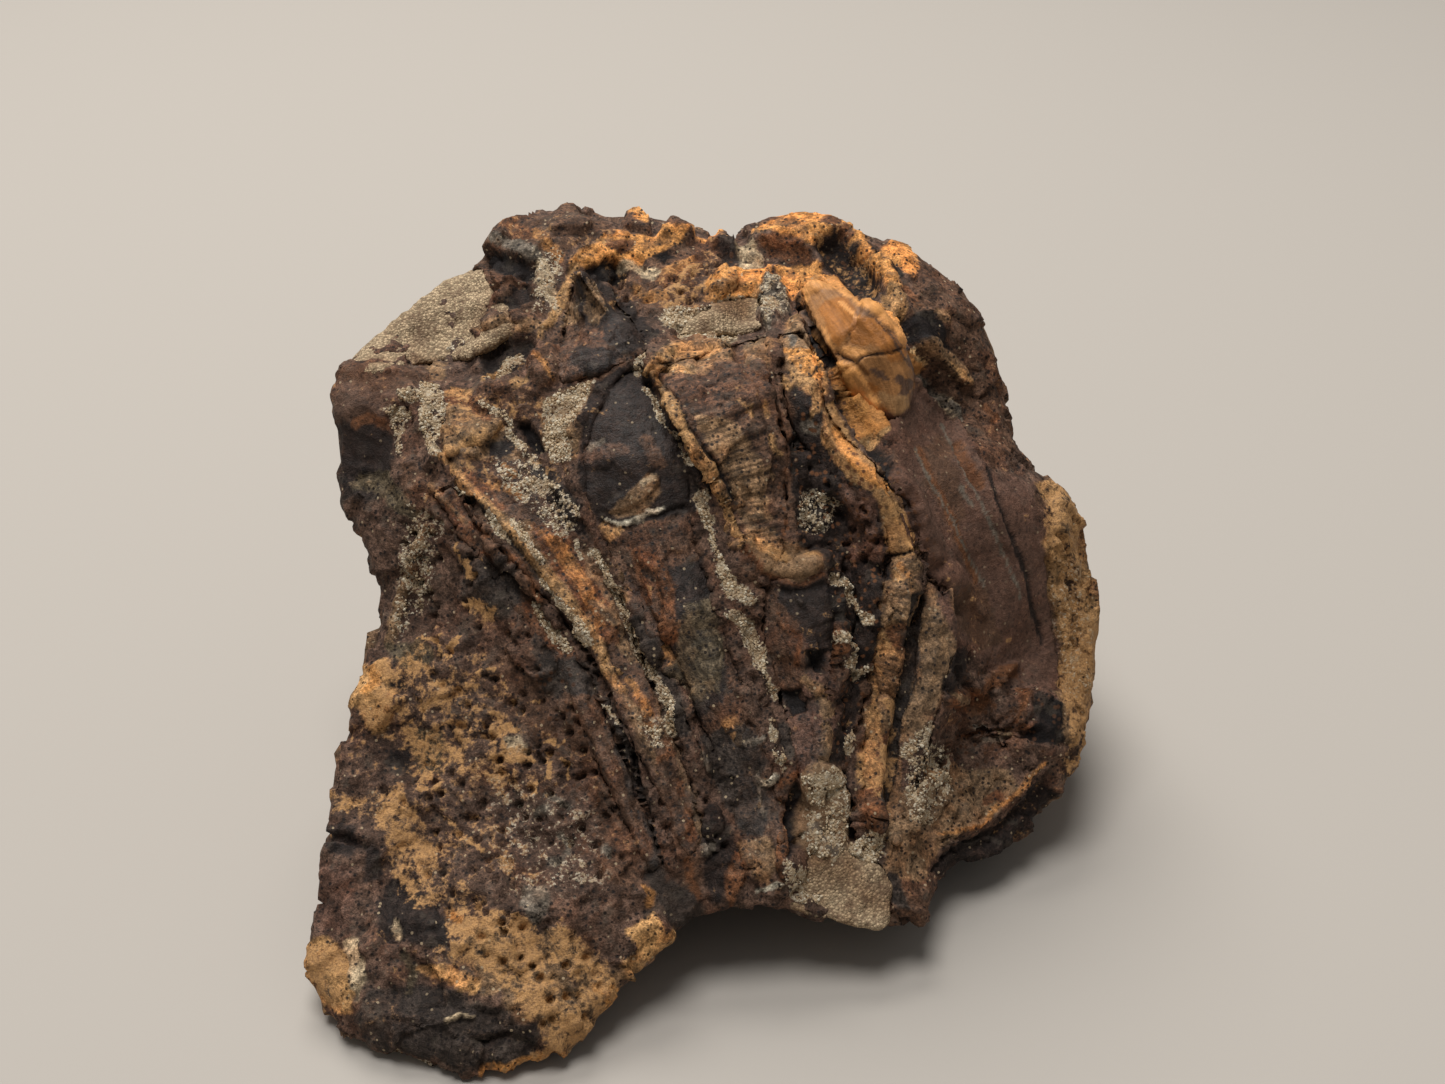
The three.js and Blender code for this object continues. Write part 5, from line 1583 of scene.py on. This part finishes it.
def footholds(carrier):
    """The middle, the normal and the weight of each triangle of a piece that may carry grains."""
    mesh = carrier.data
    mesh.calc_loop_triangles()
    places, normals = read(mesh)
    corners = np.array([triangle.vertices[:] for triangle in mesh.loop_triangles])
    levels = np.empty(len(mesh.vertices), np.float32)
    mesh.attributes["sand"].data.foreach_get("value", levels)
    a, b, c = (places[corners[:, n]] for n in range(3))
    area = np.linalg.norm(np.cross(b - a, c - a), axis=1)
    spots = (a + b + c) / 3
    above_ground = spots[:, 2] > LARGEST * 2 * MM
    clump = rise(rough(spots, size=1.2, octaves=2, seed=55), -0.5, 0.9)
    weights = area * clump * rise(levels[corners].mean(1), 0.35, 1.0) * above_ground
    return spots, normals[corners[:, 0]], weights


spots, axes, weights = (np.concatenate(parts) for parts in zip(*map(footholds, [bone, *teeth.values()])))

# %% Grains
rng = np.random.default_rng(7)
SUNK, BATCH = 0.25, 100


def grain(bm, place, axis):
    """Adds one small ball of a random size and shape, resting on this place."""
    size = (SMALLEST + (LARGEST - SMALLEST) * rng.uniform() ** 2) * MM
    stretch = Matrix.Diagonal((*rng.uniform(0.7, 1.25, 3), 1))
    turn = Matrix.Rotation(rng.uniform(0, 2 * math.pi), 4, Vector(rng.normal(size=3)).normalized())
    there = Matrix.Translation(Vector(place + axis * size * SUNK))
    bmesh.ops.create_icosphere(bm, subdivisions=1, radius=size, matrix=there @ turn @ stretch)


chosen = rng.choice(len(spots), GRAIN_COUNT, p=weights / weights.sum())
shades = rng.uniform(size=GRAIN_COUNT)
whole = bmesh.new()
for batch in np.array_split(chosen, GRAIN_COUNT // BATCH):
    bm = bmesh.new()
    for n in batch:
        grain(bm, spots[n], axes[n])
    handful = bpy.data.meshes.new("handful")
    bm.to_mesh(handful)
    bm.free()
    whole.from_mesh(handful)
    bpy.data.meshes.remove(handful)
grains = settled("sand_grains", whole)
note(grains.data, shade=np.repeat(shades, len(grains.data.vertices) // GRAIN_COUNT))
tally(grains)

# %% [markdown]
# ## Materials
#
# One recipe serves the whole fossil, because bone, tooth and stone carry the same stains. A material
# is a tree of small nodes, so this class has a short method for each kind. All patterns hang on
# Object coordinates or on what the mesh has stored.

# %% Recipe
class Recipe:
    """A material under construction. Each method adds nodes and gives back an output socket."""

    def __init__(self, name):
        self.material = bpy.data.materials.new(name)
        self.material.use_nodes = True
        self.tree = self.material.node_tree
        self.shader = self.tree.nodes["Principled BSDF"]
        self.place = self.node("TexCoord").outputs["Object"]

    def feed(self, node, inputs):
        """Sets sockets of a node: to a number, a colour, or what another node puts out."""
        for name, value in dict(inputs).items():
            if isinstance(value, bpy.types.NodeSocket):
                self.tree.links.new(value, node.inputs[name])
            else:
                node.inputs[name].default_value = value
        return node

    def node(self, kind, settings=(), inputs=()):
        added = self.tree.nodes.new("ShaderNode" + kind)
        for name, value in dict(settings).items():
            setattr(added, name, value)
        return self.feed(added, inputs)

    def stored(self, name, output="Fac"):
        return self.node("Attribute", {"attribute_name": name}).outputs[output]

    def noise(self, size, detail=3.0):
        return self.noise_at(self.place, 1 / (size * MM), detail)

    def noise_at(self, place, scale, detail=3.0):
        inputs = {"Vector": place, "Scale": scale, "Detail": detail, "Roughness": 0.6}
        return self.node("TexNoise", inputs=inputs).outputs["Fac"]

    def cells(self, size):
        """How far off the middle of the nearest cell is, and two random numbers of that cell."""
        found = self.node("TexVoronoi", inputs={"Vector": self.place, "Scale": 1 / (size * MM)})
        split = self.node("SeparateColor", inputs={"Color": found.outputs["Color"]})
        return found.outputs["Distance"], split.outputs["Red"], split.outputs["Green"]

    def math(self, operation, first, second=0.5, third=0.5):
        inputs = {0: first, 1: second, 2: third}
        return self.node("Math", {"operation": operation}, inputs).outputs[0]

    def times(self, first, *others):
        for other in others:
            first = self.math("MULTIPLY", first, other)
        return first

    def stirred(self, level, *stirs):
        """A level pushed up and down by noises, each with its own strength."""
        for noise, strength in stirs:
            level = self.math("MULTIPLY_ADD", self.math("SUBTRACT", noise, 0.5), strength, level)
        return level

    def slope(self, value, start, end, low=0.0, high=1.0):
        inputs = {"Value": value, "From Min": start, "From Max": end, "To Min": low, "To Max": high}
        return self.node("MapRange", {"interpolation_type": "SMOOTHSTEP"}, inputs).outputs["Result"]

    def blend(self, share, low, high, how="MIX"):
        inputs = {0: share, 6: low, 7: high}
        return self.node("Mix", {"data_type": "RGBA", "blend_type": how}, inputs).outputs[2]

    def dab(self, share, low, name):
        """This much of a colour of the palette over another colour."""
        return self.blend(share, low, named(name))

    def bump(self, height, strength=1.0, distance=0.24):
        """Lets the light see these heights, up to so many millimetres."""
        inputs = {"Height": height, "Strength": strength, "Distance": distance * MM}
        self.feed(self.shader, {"Normal": self.node("Bump", inputs=inputs).outputs["Normal"]})

    def finish(self, colour, roughness, specular):
        self.feed(self.shader, {"Base Color": colour, "Roughness": roughness, "Specular IOR Level": specular})
        return self.material


def named(name):
    return (*PALETTE[name], 1)


# %% [markdown]
# The ground is the stored tint, made lighter and darker by noise at three sizes, and less so where
# it is worn smooth. Teeth add streaks, whose noise is laid out along and across the file.

# %% Ground and streaks
# half the width of the slope, how much darker, how much lighter
MOTTLES = [(0.14, 0.45, 0.35), (0.14, 0.4, 0.35), (0.16, 0.3, 0.25)]


class Fossil(Recipe):
    """A recipe with the noises that all stains share. Contrast is their strength."""

    def __init__(self, name, contrast):
        super().__init__(name)
        self.contrast = contrast
        self.broad, self.middle = self.noise(4.5), self.noise(1.3, 4)
        self.fine, self.grit = self.noise(0.42), self.noise(0.17, 2)
        self.calm = self.math("MULTIPLY_ADD", self.stored("smooth"), -0.6, 1.0)


def ground(mix):
    """The stored tint, lighter and darker by noise."""
    tint = mix.stored("tint", "Color")
    shades = [mix.slope(noise, 0.5 - half, 0.5 + half, 1 - darker * mix.contrast, 1 + lighter * mix.contrast)
              for noise, (half, darker, lighter) in zip((mix.middle, mix.fine, mix.grit), MOTTLES)]
    return mix.blend(mix.calm, tint, mix.blend(1.0, tint, mix.times(*shades), "MULTIPLY"))


def streaked(mix, colour, along, across):
    """The streaks of growth, so many to a millimetre along the file and across it."""
    line = mix.node("CombineXYZ", inputs={"X": mix.times(mix.stored("run"), along),
                                                    "Y": mix.times(mix.stored("beside"), across)})
    streak = mix.slope(mix.noise_at(line.outputs[0], 1.0), 0.36, 0.64, 0.5, 1.5)
    shown = mix.math("MULTIPLY_ADD", mix.stored("growth"), 0.7, 0.3)
    return mix.blend(shown, colour, mix.blend(1.0, colour, streak, "MULTIPLY"))


# %% [markdown]
# Rough stone is rusty in some places and greyed in others. Small round cells give it dark pores,
# pale flecks and crumbs of rust, and the random number of a cell says which of them it is.

# %% Weathering
RUSTY = (1.2, 0.92, 0.76, 1)
FLECK_SIZE = 0.58


def weathered(mix, colour):
    rusty = mix.times(mix.slope(mix.broad, 0.46, 0.64, 0.0, 0.6), mix.calm)
    colour = mix.blend(rusty, colour, RUSTY, "MULTIPLY")
    greyed = mix.times(mix.slope(mix.noise(2.0, 4), 0.54, 0.66, 0.0, 0.22), mix.calm)
    colour = mix.dab(greyed, colour, "ash")
    gap, chosen, other = mix.cells(FLECK_SIZE)
    pore = mix.times(mix.slope(gap, 0.38, 0.2), mix.slope(chosen, 0.35, 0.42), mix.calm, 0.9)
    colour = mix.dab(pore, colour, "black")
    fleck = mix.times(mix.slope(gap, 0.3, 0.2), mix.slope(chosen, 0.12, 0.08), mix.calm, 0.7)
    colour = mix.dab(fleck, colour, "buff")
    crumb = mix.times(mix.slope(gap, 0.55, 0.25), mix.slope(other, 0.62, 0.7), mix.stored("gritty"))
    return mix.dab(crumb, colour, "rust")


# %% [markdown]
# Ochre clay and sand lie over the stone. Each shows where its stored layer, stirred by noise, passes
# a limit, which gives it the ragged edge of a real crust. Sand is coloured grain by grain.

# %% Crusts
SAND_SIZE = 0.26


def crusted(mix, colour):
    """The lace of ochre clay over this colour."""
    likely = mix.stirred(mix.stored("ochre"), (mix.broad, 1.6), (mix.middle, 2.2), (mix.fine, 1.1))
    crust = mix.dab(mix.slope(mix.fine, 0.35, 0.65), named("tan"), "ochre")
    crust = mix.blend(mix.slope(mix.grit, 0.3, 0.7), mix.dab(0.4, crust, "umber"), crust)
    return mix.blend(mix.slope(likely, 0.42, 0.88), colour, crust)


def sandy(mix, colour):
    """Sand over this colour, and how high its grains stand."""
    gap, chosen, _ = mix.cells(SAND_SIZE)
    likely = mix.stirred(mix.stored("sand"), (mix.fine, 2.0), (mix.middle, 2.6), (chosen, 0.5))
    sand = mix.times(mix.slope(likely, 0.48, 0.62), mix.slope(mix.stored("sand"), 0.04, 0.4))
    grain = mix.dab(mix.slope(chosen, 0.0, 0.3), named("fawn"), "buff")
    grain = mix.dab(mix.slope(chosen, 0.5, 1.0, 0.0, 0.8), grain, "chalk")
    grain = mix.dab(mix.slope(mix.broad, 0.5, 0.68, 0.0, 0.5), grain, "clay")
    # umber at the edge of each grain: painted shade between the grains
    grain = mix.dab(mix.slope(gap, 0.45, 0.85, 0.0, 0.45), grain, "umber")
    return mix.blend(sand, colour, grain), mix.times(sand, mix.slope(gap, 0.6, 0.0))


# %% [markdown]
# The recipe lays on, in this order: the stone, its weathering, painted shade and dirt in seams and
# pits, clay, and last of all sand, as the real stains came. Fine noise also makes the gloss and the
# bumps uneven.

# %% The whole recipe
EVEN = 0.5


def stained(name, roughness, gloss=0.0, streaks=None, contrast=1.0):
    """One finish of the fossil. At the contrast called even, the stone shows no weathering."""
    mix = Fossil(name, contrast)
    colour = ground(mix)
    if streaks:
        colour = streaked(mix, colour, *streaks)
    if contrast > EVEN:
        colour = weathered(mix, colour)
    # painted shade and dirt: the stored dark goes towards black in seams and pits
    colour = mix.dab(mix.times(mix.stored("dark"), 0.85), colour, "black")
    colour, grains = sandy(mix, crusted(mix, colour))
    height = mix.math("MULTIPLY_ADD", mix.fine, 0.7 * contrast, mix.times(mix.grit, 0.5 * contrast))
    mix.bump(mix.math("MULTIPLY_ADD", grains, 0.7, height))
    dull = mix.slope(mix.fine, 0.3, 0.7, roughness - 0.1, min(1.0, roughness + 0.1))
    return mix.finish(colour, dull, 0.16 + gloss)


# %% [markdown]
# Bone is dull. Teeth are a little glossier, and the amber enamel is the glossiest and most even.

# %% Finishes
ACROSS_STREAKS, ALONG_STREAKS = (2.2, 0.35), (0.35, 3.0)
bone.data.materials.append(stained("fossil_bone", 0.72))
finishes = {
    "across": stained("tooth_cross_striae", 0.66, 0.05, ACROSS_STREAKS),
    "along": stained("tooth_long_fibres", 0.62, 0.1, ALONG_STREAKS),
}
enamel = stained("amber_enamel", 0.5, 0.05, ALONG_STREAKS, EVEN)
for name, tooth in teeth.items():
    tooth.data.materials.append(enamel if name == "tooth_8" else finishes[TOOTH_LINES[name][1][2]])

# %% [markdown]
# Set sandstone is coloured grain by grain too. Each loose grain has one stored shade.

# %% Sand finishes
GRAIN_SIZE = 0.28
rock = Recipe("sandstone")
gap, chosen, _ = rock.cells(GRAIN_SIZE)
colour = rock.blend(1.0, rock.stored("tint", "Color"), rock.slope(chosen, 0.0, 1.0, 0.6, 1.35), "MULTIPLY")
# umber at the edge of each grain: painted shade between the grains
colour = rock.dab(rock.slope(gap, 0.3, 0.8, 0.0, 0.6), colour, "umber")
colour = rock.dab(rock.slope(rock.noise(3.0), 0.52, 0.7, 0.0, 0.6), colour, "umber")
rock.bump(rock.math("MULTIPLY_ADD", rock.slope(gap, 0.7, 0.0), 0.8, rock.noise(0.2, 2)), 0.8, 0.2)
rock.finish(colour, 0.95, 0.2)
for stone in stones.values():
    stone.data.materials.append(rock.material)

sand = Recipe("loose_sand")
shade = sand.stored("shade")
colour = sand.dab(sand.slope(shade, 0.0, 0.4), named("fawn"), "buff")
colour = sand.dab(sand.slope(shade, 0.6, 1.0), colour, "chalk")
grains.data.materials.append(sand.finish(colour, 0.9, 0.2))

# %% [markdown]
# ## Floor and light
#
# The fossil lies on a pale sheet under two wide, soft lights. One stands behind it, so that its
# shadow falls towards the camera and under the arch. One hangs overhead and shows the relief.

# %% Studio
FLOOR_SIZE = 3.0
PAPER = (0.435, 0.405, 0.368, 1)
LIGHT_SIZE = 0.5
ROOM_COLOUR, ROOM_STRENGTH = (1.0, 0.98, 0.95, 1), 0.2

bm = bmesh.new()
bmesh.ops.create_grid(bm, x_segments=1, y_segments=1, size=FLOOR_SIZE)
floor = settled("floor", bm)
floor.data.materials.append(Recipe("floor_paper").finish(PAPER, 0.9, 0.1))


def soft_light(name, place, target, power, colour):
    light = bpy.data.objects.new(name, bpy.data.lights.new(name, "AREA"))
    light.data.shape, light.data.size = "DISK", LIGHT_SIZE
    light.data.energy, light.data.color = power, colour
    light.location = place
    light.rotation_euler = (Vector(target) - Vector(place)).to_track_quat("-Z", "Y").to_euler()
    bpy.context.scene.collection.objects.link(light)


soft_light("key", (-0.15, 0.42, 0.68), (0, 0, 0.03), 4.6, (1.0, 0.97, 0.93))
soft_light("overhead", (-0.12, -0.1, 0.95), (0, 0, 0.04), 6.2, (1.0, 0.98, 0.96))

world = bpy.data.worlds.new("room")
world.use_nodes = True
world.node_tree.nodes["Background"].inputs["Color"].default_value = ROOM_COLOUR
world.node_tree.nodes["Background"].inputs["Strength"].default_value = ROOM_STRENGTH
bpy.context.scene.world = world
bpy.context.scene.view_settings.view_transform = "Standard"

# %% [markdown]
# ## Hand the pieces over
#
# Each piece rides on the one body that the fossil is and stands for its own solid, which is hidden.

# %% Ride and replace
handed = {"jaw_bone": bone, **teeth, **stones}
for node, piece in handed.items():
    piece.data.polygons.foreach_set("use_smooth", [True] * len(piece.data.polygons))
    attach(piece, "root")
    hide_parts(node)
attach(grains, "root")
